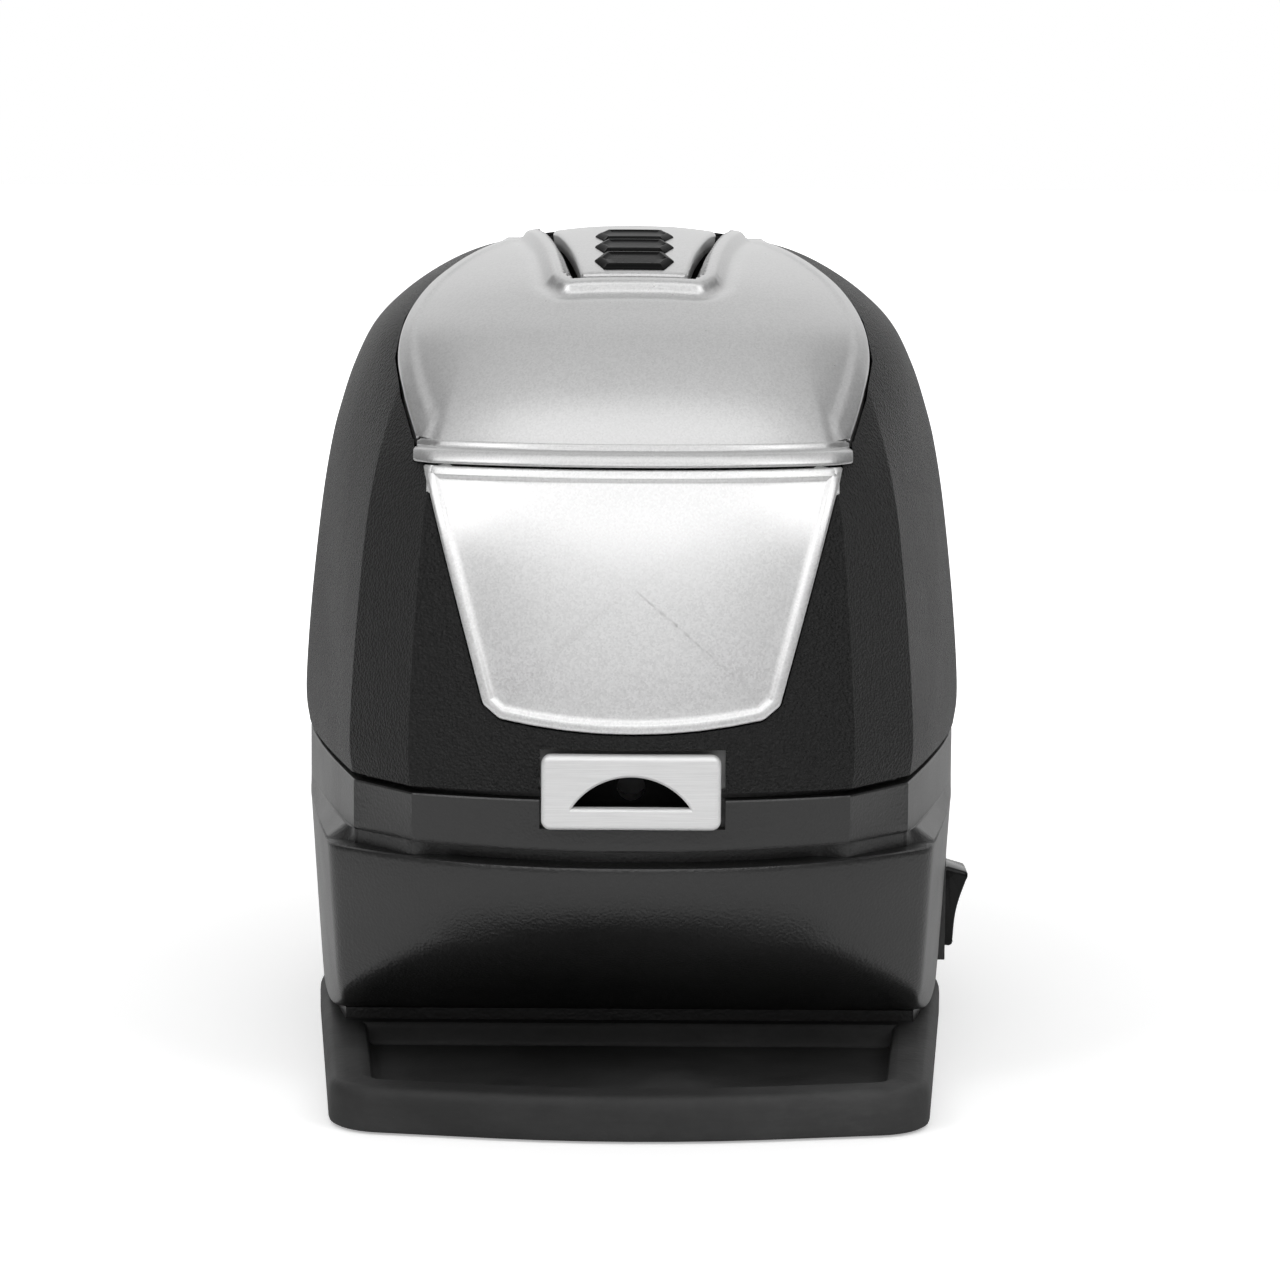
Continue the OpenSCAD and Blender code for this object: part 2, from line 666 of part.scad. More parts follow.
module whipper() {
    tip_r = chamber_r - 1;
    color("#d0d0d0") translate([0, chamber_front + front_wall + 26, plate_z]) rotate([90, 0, 0]) difference() {
        union() {
            cylinder(r = 6, h = 22, $fn = 48);
            for (i = [0:blade_count - 1]) rotate([0, 0, i * 360 / blade_count]) intersection() {
                translate([0, -0.9, 1]) cube([tip_r + 1, 1.8, 20]);
                cylinder(r = tip_r, h = 30, $fn = 96);
            }
        }
        translate([0, 0, -1]) cylinder(r = shaft_r, h = 24, $fn = 48);
        // holes through the blades that break up the liquid
        for (i = [0:blade_count / 2 - 1]) rotate([0, 0, i * 360 / blade_count]) for (z = [7, 15])
            for (s = for_side) translate([s * 10.5, 0, z]) rotate([90, 0, 0])
                cylinder(r = 1.6, h = 4, center = true, $fn = 24);
    }
}
module motor() {
    color("#a9adb0") translate([0, motor_front, plate_z]) rotate([-90, 0, 0]) difference() {
        union() {
            cylinder(r = motor_r, h = motor_len, $fn = 96);
            translate([0, 0, motor_len]) cylinder(r = motor_r - 3, h = 4, $fn = 96);
            for (s = for_side) translate([s * 8 - 0.4, -2.5, motor_len + 4]) cube([0.8, 5, 6]);
        }
        translate([0, 0, -1]) cylinder(r = shaft_r + run_gap, h = 8, $fn = 48);
        for (s = for_side) translate([s * 12, 0, -1]) cylinder(r = bolt_r, h = 6, $fn = 32);
        // cooling slots through the end of the can
        for (a = [0:60:300]) rotate([0, 0, a + 30]) translate([motor_r - 4, -2.5, motor_len - 12]) cube([6, 5, 8]);
    }
}
module motor_bracket() {
    w = 2 * motor_r + 8;
    color("#8f9499") difference() {
        union() {
            translate([-w / 2, motor_front - motor_plate_t, cover_top])
                cube([w, motor_plate_t, plate_z + motor_r + 3 - cover_top]);
            translate([-w / 2, motor_front - motor_plate_t, cover_top]) cube([w, 22, 3]);
            for (s = for_side) translate([s * (w / 2 - 1.5) - 1.5, motor_front, cover_top + 3]) rotate([90, 0, 90])
                linear_extrude(3) polygon([[0, 0], [17, 0], [0, 26]]);
        }
        translate([0, motor_front + 1, plate_z]) rotate([90, 0, 0]) cylinder(r = 7, h = 10, $fn = 48);
        for (s = for_side) translate([s * 12, motor_front + 1, plate_z]) rotate([90, 0, 0])
            cylinder(r = bolt_r, h = 10, $fn = 32);
        translate([-11, motor_front - motor_plate_t - 1, cover_top + 9]) cube([22, motor_plate_t + 2, 20]);
    }
}
module motor_screws() {
    color("#8c8c8c") for (s = for_side) translate([s * 12, motor_front - motor_plate_t, plate_z]) union() {
        rotate([-90, 0, 0]) cylinder(r = bolt_r, h = motor_plate_t + 4.5, $fn = 32);
        rotate([90, 0, 0]) cylinder(r = 2.3, h = 1.8, $fn = 32);
    }
}

tank_r = 9;
tank_top = lid_z - lip_h + 2.5;
tank_bottom = tank_top - tank_h;
tank_rear = -12;
module tank_block(inset, z0, z1) {
    translate([0, 0, z0]) linear_extrude(z1 - z0)
        hull() for (x = for_side, y = [tank_rear - tank_r, tank_rear - tank_d + tank_r])
            translate([x * (tank_w / 2 - tank_r), y]) circle(r = tank_r - inset, $fn = 32);
}
module liquid_tank() {
    color("#c4c8ca") difference() {
        tank_block(0, tank_bottom, tank_top);
        tank_block(tank_wall, tank_bottom + tank_wall, tank_top + 1);
        translate([0, feed_y, tank_bottom - 1]) cylinder(r = feed_r, h = 10, $fn = 48);
    }
}
module tank_gasket() {
    color("#4a4a4a") difference() {
        tank_block(0.2, tank_top, tank_top + 1.6);
        tank_block(tank_wall - 0.2, tank_top - 1, tank_top + 3);
    }
}
module feed_tube() {
    z0 = plate_z + chamber_or - 1;
    color("#d8d8d8") difference() {
        translate([0, feed_y, z0]) cylinder(r = feed_r, h = tank_bottom + tank_wall - z0, $fn = 48);
        translate([0, feed_y, z0 - 1]) cylinder(r = feed_bore, h = 60, $fn = 48);
    }
}
support_x = 33;
support_back = 8;
support_foot_h = 20;
support_gap = 4;
support_neck = 80;
support_y1 = tank_rear - 2;
support_y0 = tank_rear - tank_d + 8;
module tank_supports() {
    color("#2f2f2f") for (s = for_side) translate([s * support_x - 1.5, 0, 0]) rotate([90, 0, 90]) linear_extrude(3)
        difference() {
            polygon([[3 - foot_front, cover_top], [support_back, cover_top], [support_back, cover_top + support_foot_h],
                [support_y1, support_neck], [support_y1, tank_bottom], [support_y0, tank_bottom],
                [support_y0, support_neck + support_gap], [3 - foot_front, support_neck - 5 * support_gap]]);
            translate([-28, 66]) circle(r = 7, $fn = 48);
            translate([-24, 36]) circle(r = 8, $fn = 48);
        }
}

// Button: keystone outline seen from above
module button_outline(grow = 0) {
    polygon(both_ways([[button_front_x + grow, -button_front - grow], [button_rear_x + grow, -2],
        [button_rear_x + grow, button_rear + grow]]));
}
well_floor = 160;
floor_t = 2.5;
spring_top = 172;
switch_y = 2;
switch_l = 20;
switch_d = 6.4;
switch_h = 10;
plunger_r = 1.5;
plunger_top = well_floor + 1.5;
press_post_r = 2.4;
module button_frame() {
    color("#171717") difference() {
        intersection() {
            union() {
                translate([0, 0, well_floor - floor_t]) linear_extrude(30) difference() {
                    button_outline(button_gap + 1.2);
                    button_outline(button_gap);
                }
                translate([0, 0, well_floor - floor_t]) linear_extrude(floor_t) button_outline(button_gap + 1.2);
                // rear shoulder under the dome
                translate([-button_rear_x, button_rear + button_gap, well_floor - floor_t])
                    cube([2 * button_rear_x, 12, 30]);
            }
            dome(wall);
        }
        for (s = for_side) translate([s * post_x, -post_front, well_floor - 5]) cylinder(r = post_r + 0.1, h = 10, $fn = 48);
        translate([0, switch_y, well_floor - 5]) cylinder(r = press_post_r + 0.5, h = 10, $fn = 48);
    }
}
module button_springs() {
    color("#b0b0b0") for (s = for_side) translate([s * post_x, -post_front, well_floor]) difference() {
        cylinder(r = post_r + 1.3, h = spring_top - well_floor, $fn = 32);
        translate([0, 0, -1]) cylinder(r = post_r + 0.5, h = 30, $fn = 32);
    }
}
module microswitch() {
    color("#222222") translate([0, switch_y, well_floor - floor_t - switch_h]) difference() {
        union() {
            translate([-switch_l / 2, -switch_d / 2, 0]) cube([switch_l, switch_d, switch_h]);
            for (x = [-8, 0, 8]) translate([x - 1.6, -0.3, -5]) cube([3.2, 0.6, 5.5]);
        }
        translate([0, 0, 2]) cylinder(r = plunger_r + run_gap, h = 30, $fn = 48);
        for (s = for_side) translate([s * 5, 0, 3]) rotate([90, 0, 0]) cylinder(r = 1.2, h = 20, center = true, $fn = 32);
    }
}
module switch_plunger() {
    z0 = well_floor - floor_t - switch_h + 2 + button_travel + 0.5;
    color("#c02020") translate([0, switch_y, z0]) cylinder(r = plunger_r, h = plunger_top - z0, $fn = 48);
}
module push_button() {
    color("#cccccc") union() {
        difference() {
            intersection() {
                dome(-0.2);
                translate([0, 0, lid_z]) linear_extrude(body_w) button_outline();
            }
            dome(button_t);
        }
        intersection() {
            dome(1);
            union() {
                for (s = for_side) translate([s * post_x, -post_front, 0]) {
                    translate([0, 0, well_floor - floor_t]) cylinder(r = post_r, h = 40, $fn = 48);
                    translate([0, 0, spring_top]) cylinder(r = post_r + 2, h = 40, $fn = 48);
                }
                translate([0, switch_y, plunger_top + fit_gap]) cylinder(r = press_post_r, h = 40, $fn = 48);
            }
        }
    }
}
grip_rows = 3;
grip_front = button_front - 8;
grip_h = 1;
grip_edge = grip_x * 0.62;
grip_half = grip_pitch * 0.47;
module button_grips() {
    color("#101010") intersection() {
        difference() {
            dome(-0.2 - grip_h);
            dome(-0.2);
        }
        for (i = [0:grip_rows - 1]) translate([0, -grip_front + i * grip_pitch, lid_z])
            linear_extrude(60) polygon([[grip_x, 0], [grip_edge, grip_half], [-grip_edge, grip_half],
                [-grip_x, 0], [-grip_edge, -grip_half], [grip_edge, -grip_half]]);
    }
}

barrel_x0 = notch_rear_x + 1.9;
barrel_x1 = lid_rear_x - 1;
module along_x(x0, x1, r) {
    translate([x0, hinge_y, hinge_z]) rotate([0, 90, 0]) cylinder(r = r, h = x1 - x0, $fn = 48);
}
module lid() {
    color("#d2d2d2") difference() {
        union() {
            intersection() {
                difference() {
                    dome();
                    dome(wall);
                }
                translate([0, 0, lid_z]) linear_extrude(body_w) lid_outline();
            }
            for (s = for_side) mirror([s < 0 ? 1 : 0, 0, 0]) {
                along_x(barrel_x0, barrel_x1, hinge_barrel_r);
                translate([barrel_x0, hinge_y - 8, hinge_z - 1]) cube([barrel_x1 - barrel_x0, 8, 3]);
            }
        }
        for (s = for_side) mirror([s < 0 ? 1 : 0, 0, 0]) along_x(10, 40, hinge_pin_r + run_gap);
    }
}
lip_reach = 40;
module lid_lip() {
    color("#dedede") difference() {
        intersection() {
            dome(-lip_proud);
            translate([-lip_x, -body_front - 5, lid_z - lip_h]) cube([2 * lip_x, body_front, lip_h]);
        }
        dome(wall);
        translate([-body_w, -lip_reach, 0]) cube([body_w * 2, body_rear, top_z]);
    }
}
lug_t = 2.4;
module hinge_lugs() {
    color("#242424") intersection() {
        translate([0, 0, -eps]) dome(wall);
        for (s = for_side) mirror([s < 0 ? 1 : 0, 0, 0]) difference() {
            translate([barrel_x1 + fit_gap, hinge_y - 2.8, hinge_z - 6]) cube([lug_t, 15, 20]);
            along_x(10, 40, hinge_pin_r);
        }
    }
}
module hinge_pins() {
    color("#9a9a9a") for (s = for_side) mirror([s < 0 ? 1 : 0, 0, 0])
        along_x(barrel_x0, barrel_x1 + fit_gap + lug_t - 0.8, hinge_pin_r);
}

axle_r = 1.4;
module rocker_frame() {
    depth = 16;
    color("#111111") difference() {
        union() {
            translate([rocker_seat, -frame_w / 2, rocker_z - frame_h / 2]) cube([frame_t, frame_w, frame_h]);
            translate([rocker_seat - depth, -rocker_w / 2 - 1.5, rocker_z - rocker_h / 2 - 2])
                cube([depth, rocker_w + 3, rocker_h + 4]);
            for (z = [-7, 0, 7]) translate([rocker_seat - depth - 6, -2.4, rocker_z + z - 0.4]) cube([6.5, 4.8, 0.8]);
        }
        translate([rocker_seat - 10, -rocker_w / 2 - fit_gap, rocker_z - rocker_h / 2 - 1.4])
            cube([20, rocker_w + 2 * fit_gap, rocker_h + 2.8]);
        translate([rocker_pivot_x, 0, rocker_z]) rotate([90, 0, 0])
            cylinder(r = axle_r + run_gap, h = rocker_w + 2.4, center = true, $fn = 48);
    }
}
module rocker() {
    h = rocker_h / 2;
    color("#141414") translate([rocker_pivot_x, 0, rocker_z]) rotate([0, rocker_tilt, 0]) rotate([90, 0, 0]) union() {
        translate([0, 0, -rocker_w / 2]) linear_extrude(rocker_w) difference() {
            polygon([[-4, -h + 1.5], [0, -h], [rocker_face, -h + 0.4], [rocker_face - 1.4, 0],
                [rocker_face, h - 0.4], [0, h], [-4, h - 1.5]]);
            translate([rocker_face + 5.2, 0]) circle(r = 6, $fn = 64);
        }
        cylinder(r = axle_r, h = rocker_w + 2.2, center = true, $fn = 48);
    }
}

module power_inlet() {
    color("#151515") difference() {
        union() {
            translate([-17, inlet_seat, inlet_z - 13]) cube([34, 2, 26]);
            translate([-inlet_w / 2, inlet_seat - inlet_cavity - 3, inlet_z - inlet_h / 2])
                cube([inlet_w, inlet_cavity + 3, inlet_h]);
        }
        // socket with two cut lower corners
        translate([0, inlet_seat + 3, inlet_z]) rotate([90, 0, 0]) linear_extrude(inlet_cavity + 3)
            polygon([[-12, 8.2], [12, 8.2], [12, -4], [8, -8.2], [-8, -8.2], [-12, -4]]);
    }
}
module inlet_pins() {
    color("#c8b070") for (p = [[-7, -2.5], [7, -2.5], [0, 2.5]])
        translate([p[0] - 1, inlet_seat - inlet_cavity, inlet_z + p[1] - 2]) cube([2, 9, 4]);
}

board_z = cover_top + 7;
board_y = 40;
board_w = 56;
board_l = 36;
board_spots = [for (x = for_side, y = [4, board_l - 4]) [x * (board_w / 2 - 4), board_y + y]];
module board_standoffs() {
    color("#6f6f6f") for (p = board_spots) translate([p[0], p[1], cover_top]) cylinder(r = 2.6, h = 7, $fn = 32);
}
module control_board() {
    color("#2f4a36") translate([-board_w / 2, board_y, board_z]) union() {
        cube([board_w, board_l, 1.6]);
        translate([6, 6, 1.6]) cube([16, 12, 14]);
        translate([38, 12, 1.6]) cylinder(r = 5, h = 14, $fn = 32);
        translate([28, 24, 1.6]) cube([10, 6, 8]);
    }
}
module terminal_block() {
    color("#3f6f4f") translate([-board_w / 2 + 8, board_y + board_l - 9, board_z + 1.6]) difference() {
        cube([16, 8, 9]);
        for (i = [0:2]) translate([3 + 5 * i, 4, 4]) cylinder(r = 1.5, h = 6, $fn = 24);
    }
}

base_tray();
rubber_feet();
bottom_cover();
cover_screws();
lower_housing();
upper_housing();
front_panel();
nozzle_plate();
nozzle_insert();
heater_block();
heater_cartridges();
thermostat();
whipping_chamber();
chamber_bracket();
chamber_screws();
shaft_seal();
liquid_tank();
tank_gasket();
feed_tube();
tank_supports();
motor();
motor_bracket();
motor_screws();
drive_shaft();
shaft_coupling();
whipper();
button_frame();
button_springs();
microswitch();
switch_plunger();
push_button();
button_grips();
lid();
lid_lip();
hinge_lugs();
hinge_pins();
rocker_frame();
rocker();
power_inlet();
inlet_pins();
control_board();
board_standoffs();
terminal_block();
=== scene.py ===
import json
import math

import bmesh
import bpy
import numpy as np
from mathutils import Matrix, Vector

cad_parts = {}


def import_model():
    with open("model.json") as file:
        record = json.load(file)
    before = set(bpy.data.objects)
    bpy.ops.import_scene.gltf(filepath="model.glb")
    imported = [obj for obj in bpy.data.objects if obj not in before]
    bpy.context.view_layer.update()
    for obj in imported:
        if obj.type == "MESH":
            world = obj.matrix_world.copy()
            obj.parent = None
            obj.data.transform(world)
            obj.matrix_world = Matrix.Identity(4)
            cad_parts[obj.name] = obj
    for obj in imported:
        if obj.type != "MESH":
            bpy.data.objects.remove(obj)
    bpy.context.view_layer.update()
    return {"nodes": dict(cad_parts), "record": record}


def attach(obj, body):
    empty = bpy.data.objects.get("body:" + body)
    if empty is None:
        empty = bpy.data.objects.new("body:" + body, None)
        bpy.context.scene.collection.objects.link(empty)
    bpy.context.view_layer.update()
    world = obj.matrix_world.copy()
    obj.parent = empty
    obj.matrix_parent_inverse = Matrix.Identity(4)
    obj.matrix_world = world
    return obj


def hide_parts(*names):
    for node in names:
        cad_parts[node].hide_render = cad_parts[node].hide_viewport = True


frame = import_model()

MM = 0.001    # the shapes below are worked out in millimetres, as the frame was

# ---- Driving sizes in millimetres, the frame's except where a line says otherwise ----
BODY_HALF = 75.3
BODY_FRONT = 105.0
BODY_REAR = 104.0
SPLIT_Z = 71.0
TOP_Z = 184.0
DOME_H = TOP_Z - SPLIT_Z
WALL = 2.5
CREASE_IN = (46.8, 8.7)      # half width, depth lost from the front
CREASE_OUT = (60.2, 26.1)
BELLY_CORNER = (65.8, 26.6)  # the frame has 64.5, 27.5
BELLY_POWER = 2.4
BAND_FALL = 3.6
LOWER_HALF = 74.2
FOOT_HALF = 71.5
BELLY_TOP = 55.4
GROOVE_TOP = 58.5
GROOVE_D = 5.5               # the frame has 1.4
FOOT_FRONT = 47.0
FOOT_Z = 12.5
LID_Z = 142.5
LIP_H = 4.6
LIP_HALF = 46.0
LIP_PROUD = 1.8
HINGE = (6.0, 178.5)         # y, z of the lid's hinge axis
NOTCH = [(21.6, 3.0), (21.6, -3.0), (19.6, -14.0), (17.2, -28.0), (15.4, -42.0)]
NOTCH_FRONT = -47.0
BUTTON_FRONT = -44.0
BUTTON_REAR = 8.0
PLATE_Z = 71.4
SIDE_POWER = 1.3
REAR_POWER = 3.0
ROUND_POWER = 2.5
FADE = (0.45, 0.86)          # heights between which the creases fade, as fractions of the dome
CREST = 1.0015               # height of the last station
LID_GAP = 0.5
PANEL_RECESS = 1.4           # depth of the panel's seat
ABOVE_ALL = 220              # tops of the cutters that are open above
BARREL_R = 3.0               # the frame has 3.5
ROCKER_Z = 28.3

HALVINGS = 34                # steps of each bisection
NORMAL_STEP = 0.05           # step of the differences that give the normals
NEAR_CREASE = 0.4            # shares of a step at which a row of points lies beside a crease
MIN_GAP = 0.12               # closer points of a plate's outline are dropped
MOST_OF_SIDE = 0.48          # how much of a side one rounded corner may take
CORNER_PULL = 0.08           # how far a face's corners are moved to its middle for their normals
SKIN_LIMIT = 0.80            # least cosine between a face and the dome for the dome's normals
WELD = 1e-6                  # metres

# Stations of the dome: height, width, front depth and rear depth, as fractions.
STATIONS = np.array([
    [0, 0.99, 1, 1], [0.07, 1, 0.999, 0.998], [0.24, 0.983, 0.981, 0.985], [0.44, 0.95, 0.943, 0.945],
    [0.567, 0.919, 0.893, 0.895], [0.646, 0.889, 0.838, 0.845], [0.73, 0.846, 0.765, 0.775],
    [0.81, 0.785, 0.667, 0.68], [0.867, 0.705, 0.56, 0.575], [0.915, 0.605, 0.45, 0.465],
    [0.952, 0.495, 0.334, 0.35], [0.976, 0.37, 0.225, 0.24], [0.991, 0.24, 0.13, 0.14],
    [1, 0.12, 0.05, 0.06], [CREST, 0.0, 0.0, 0.0]])


# ---- The dome's surface ----
def spline(table, t):
    """A smooth curve through the rows of a table; t runs from 0 to the last row's number."""
    t = np.clip(np.asarray(t, float), 0, len(table) - 1 - 1e-9)
    i = t.astype(int)
    f = (t - i)[..., None]
    p = [table[np.clip(i + k, 0, len(table) - 1)] for k in (-1, 0, 1, 2)]
    m1 = (p[2] - p[0]) / 2
    m2 = (p[3] - p[1]) / 2
    return ((2 * f**3 - 3 * f**2 + 1) * p[1] + (f**3 - 2 * f**2 + f) * m1
            + (-2 * f**3 + 3 * f**2) * p[2] + (f**3 - f**2) * m2)


def soft_step(d, start, width):
    """0 up to the start, 1 after the width, and a smooth rise between them."""
    t = np.clip((d - start) / width, 0, 1)
    return t * t * (3 - 2 * t)


def crease_radius(angle):
    """Radius of the creased unit outline at an angle from the front, 0 to pi."""
    xs, ys = creased_points()
    return np.interp(angle, np.arctan2(xs, -ys), np.hypot(xs, ys))


def creased_points(fall=0.0, arc=20, facet=6, side=22, rear=30):
    """Half of the unit outline, front centre to rear centre; fall sets the inner crease back."""
    cx, cy = CREASE_IN[0] / BODY_HALF, 1 - (CREASE_IN[1] + fall) / BODY_FRONT
    ox, oy = CREASE_OUT[0] / BODY_HALF, 1 - CREASE_OUT[1] / BODY_FRONT
    t = np.append(np.linspace(0, 1, arc + 1)[:-1], [1 - NEAR_CREASE / arc, 1])
    x, y = [cx * t], [-1 + (1 - cy) * t**2]
    t = np.concatenate([[0.05], np.linspace(0, 1, facet + 1)[1:-1], [0.95, 1]])
    x.append(cx + (ox - cx) * t)
    y.append(-cy + (cy - oy) * t)
    t = 1 - np.insert(np.linspace(0, 1, side + 1)[1:], 0, NEAR_CREASE / side)
    return side_and_rear(x, y, ox, oy, t, rear)


def side_and_rear(x, y, corner_x, corner_y, t, rear):
    """Ends a half outline, in lists of x and y, with the side behind a corner and the rear."""
    x.append(1 - (1 - corner_x) * t**SIDE_POWER)
    y.append(-corner_y * t)
    a = np.linspace(0, math.pi / 2, rear + 1)[1:]
    x.append(np.maximum(np.cos(a), 0) ** (2 / REAR_POWER))
    y.append(np.sin(a) ** (2 / REAR_POWER))
    return np.concatenate(x), np.concatenate(y)


def belly_points(front, side, rear):
    """Half of the belly's unit outline: one smooth front curve, a corner, the side and the rear."""
    bx, back = BELLY_CORNER[0] / BODY_HALF, BELLY_CORNER[1] / BODY_FRONT
    t = np.linspace(0, 1, front + 1)
    x, y = [bx * t], [-1 + back * t**BELLY_POWER]
    return side_and_rear(x, y, bx, 1 - back, 1 - np.linspace(0, 1, side + 1)[1:], rear)


def round_radius(angle):
    """Radius of the rounded unit outline near the dome's top."""
    sine, cosine = np.abs(np.sin(angle)), np.abs(np.cos(angle))
    return (sine**ROUND_POWER + cosine**ROUND_POWER) ** (-1 / ROUND_POWER)


def station(t):
    """Height, half width, front depth, rear depth and crease fade at station t."""
    s = spline(STATIONS, t)
    u = np.clip(s[..., 0], 0, CREST)
    fade = soft_step(u, FADE[0], FADE[1] - FADE[0])
    width, front, rear = s[..., 1] * BODY_HALF, s[..., 2] * BODY_FRONT, s[..., 3] * BODY_REAR
    return SPLIT_Z + u * DOME_H, width, front, rear, fade


def level(t, x, y):
    """Below 1 inside the dome's outline at station t, above 1 outside."""
    _, w, f, r, m = station(t)
    px = np.abs(x) / np.maximum(w, 1e-6)
    py = np.where(y < 0, y / np.maximum(f, 1e-6), y / np.maximum(r, 1e-6))
    a = np.arctan2(px, -py)
    radius = (1 - m) * crease_radius(a) + m * round_radius(a)
    return np.hypot(px, py) / radius


def bisect(low, high, past):
    """Where a test turns true between two ends, by halving."""
    for _ in range(HALVINGS):
        middle = (low + high) / 2
        over = past(middle)
        low = np.where(over, low, middle)
        high = np.where(over, middle, high)
    return (low + high) / 2


TOP_T = len(STATIONS) - 1.0


def dome_height(x, y):
    """Height of the dome above each plan point."""
    x, y = np.broadcast_arrays(np.asarray(x, float), np.asarray(y, float))
    ends = np.ones(x.shape), np.full(x.shape, TOP_T)
    return station(bisect(*ends, lambda t: ~(level(t, x, y) < 1)))[0]


TABLE_T = np.linspace(0, TOP_T, 20001)
TABLE_Z = np.maximum.accumulate(station(TABLE_T)[0])


def station_at(z):
    """Station number of each height."""
    return np.interp(z, TABLE_Z, TABLE_T)


def dome_front(x, z):
    """y of the dome's front surface at each x and height."""
    x, z = np.broadcast_arrays(np.asarray(x, float), np.asarray(z, float))
    t = station_at(z)
    ends = np.full(x.shape, -BODY_FRONT - 5), np.zeros(x.shape)
    return bisect(*ends, lambda y: ~(level(t, x, y) > 1))


def dome_normals(points):
    """Outward normals of the dome at points close to it, by differences of its implicit form."""
    p = np.asarray(points, float)

    def value(q):
        return level(station_at(np.clip(q[:, 2], SPLIT_Z, TOP_Z + 0.1)), q[:, 0], q[:, 1])

    grad = np.stack([value(p + d) - value(p - d) for d in np.eye(3) * NORMAL_STEP], axis=1)
    return grad / np.maximum(np.linalg.norm(grad, axis=1, keepdims=True), 1e-9)


def raised(base, height):
    return base + dome_normals(base) * height[:, None]


def front_surface(points, height):
    """Places on the dome's front: points are x and z, height is outward."""
    x, z = points[:, 0], points[:, 1]
    return raised(np.stack([x, dome_front(x, z), z], axis=1), height)


def top_surface(points, height):
    """Places on the dome's top: points are x and y, height is outward."""
    x, y = points[:, 0], points[:, 1]
    return raised(np.stack([x, y, dome_height(x, y)], axis=1), height)


# ---- Mesh helpers ----
def new_object(name, verts, faces, smooth=True, angle=35):
    mesh = bpy.data.meshes.new(name)
    mesh.from_pydata([tuple(float(c) * MM for c in v) for v in verts], [], [tuple(f) for f in faces])
    mesh.validate()
    obj = bpy.data.objects.new(name, mesh)
    bpy.context.scene.collection.objects.link(obj)
    tidy_mesh(obj)
    if smooth:
        shade(obj, angle)
    return obj


def tidy_mesh(obj):
    bm = bmesh.new()
    bm.from_mesh(obj.data)
    bmesh.ops.remove_doubles(bm, verts=bm.verts, dist=WELD)
    bmesh.ops.dissolve_degenerate(bm, edges=bm.edges, dist=WELD)
    bmesh.ops.recalc_face_normals(bm, faces=bm.faces)
    bm.to_mesh(obj.data)
    bm.free()


def shade(obj, angle):
    """Smooth shading, with edges sharper than the angle kept."""
    for p in obj.data.polygons:
        p.use_smooth = True
    bm = bmesh.new()
    bm.from_mesh(obj.data)
    limit = math.radians(angle)
    for e in bm.edges:
        e.smooth = not (e.is_manifold and e.calc_face_angle(0) > limit)
    bm.to_mesh(obj.data)
    bm.free()


def grid_faces(rows, cols, closed):
    faces = []
    for j in range(rows - 1):
        for i in range(cols if closed else cols - 1):
            k = (i + 1) % cols
            faces.append([j * cols + i, j * cols + k, (j + 1) * cols + k, (j + 1) * cols + i])
    return faces


def grid_object(name, rows, closed=True, **kw):
    """A mesh from equal rows of points; closed rows are rings, and the end rings are capped."""
    count = len(rows[0])
    verts = [p for row in rows for p in row]
    faces = grid_faces(len(rows), count, closed)
    if closed:
        base = (len(rows) - 1) * count
        faces += [list(range(count))[::-1], list(range(base, base + count))]
    return new_object(name, verts, faces, **kw)


def apply_modifiers(obj):
    dg = bpy.context.evaluated_depsgraph_get()
    mesh = bpy.data.meshes.new_from_object(obj.evaluated_get(dg))
    obj.modifiers.clear()
    obj.data = mesh


def cut(obj, tools):
    """Applies exact booleans with each tool, then removes the tools."""
    for t in tools:
        mod = obj.modifiers.new("cut", "BOOLEAN")
        mod.operation = "DIFFERENCE"
        mod.solver = "EXACT"
        mod.object = t
        apply_modifiers(obj)
        bpy.data.objects.remove(t)


def mirrored(right):
    """A closed outline from its right half, listed from one end on the middle to the other."""
    right = [tuple(p) for p in right]
    left = [(-x, y) for x, y in reversed(right) if abs(x) > 1e-6]
    return right + left


def even_points(points, count, endpoint=True):
    """Even points along a line; without the end point for a ring."""
    table = np.array(points, float)
    run = np.concatenate([[0], np.cumsum(np.linalg.norm(np.diff(table, axis=0), axis=1))])
    want = np.linspace(0, run[-1], count, endpoint=endpoint)
    return np.stack([np.interp(want, run, table[:, k]) for k in (0, 1)], axis=1)


def smooth_line(points, count):
    """Even points along a smooth curve through the given ones."""
    table = np.array(points, float)
    dense = spline(table, np.linspace(0, len(table) - 1, 60 * len(table)))
    return even_points(dense, count)


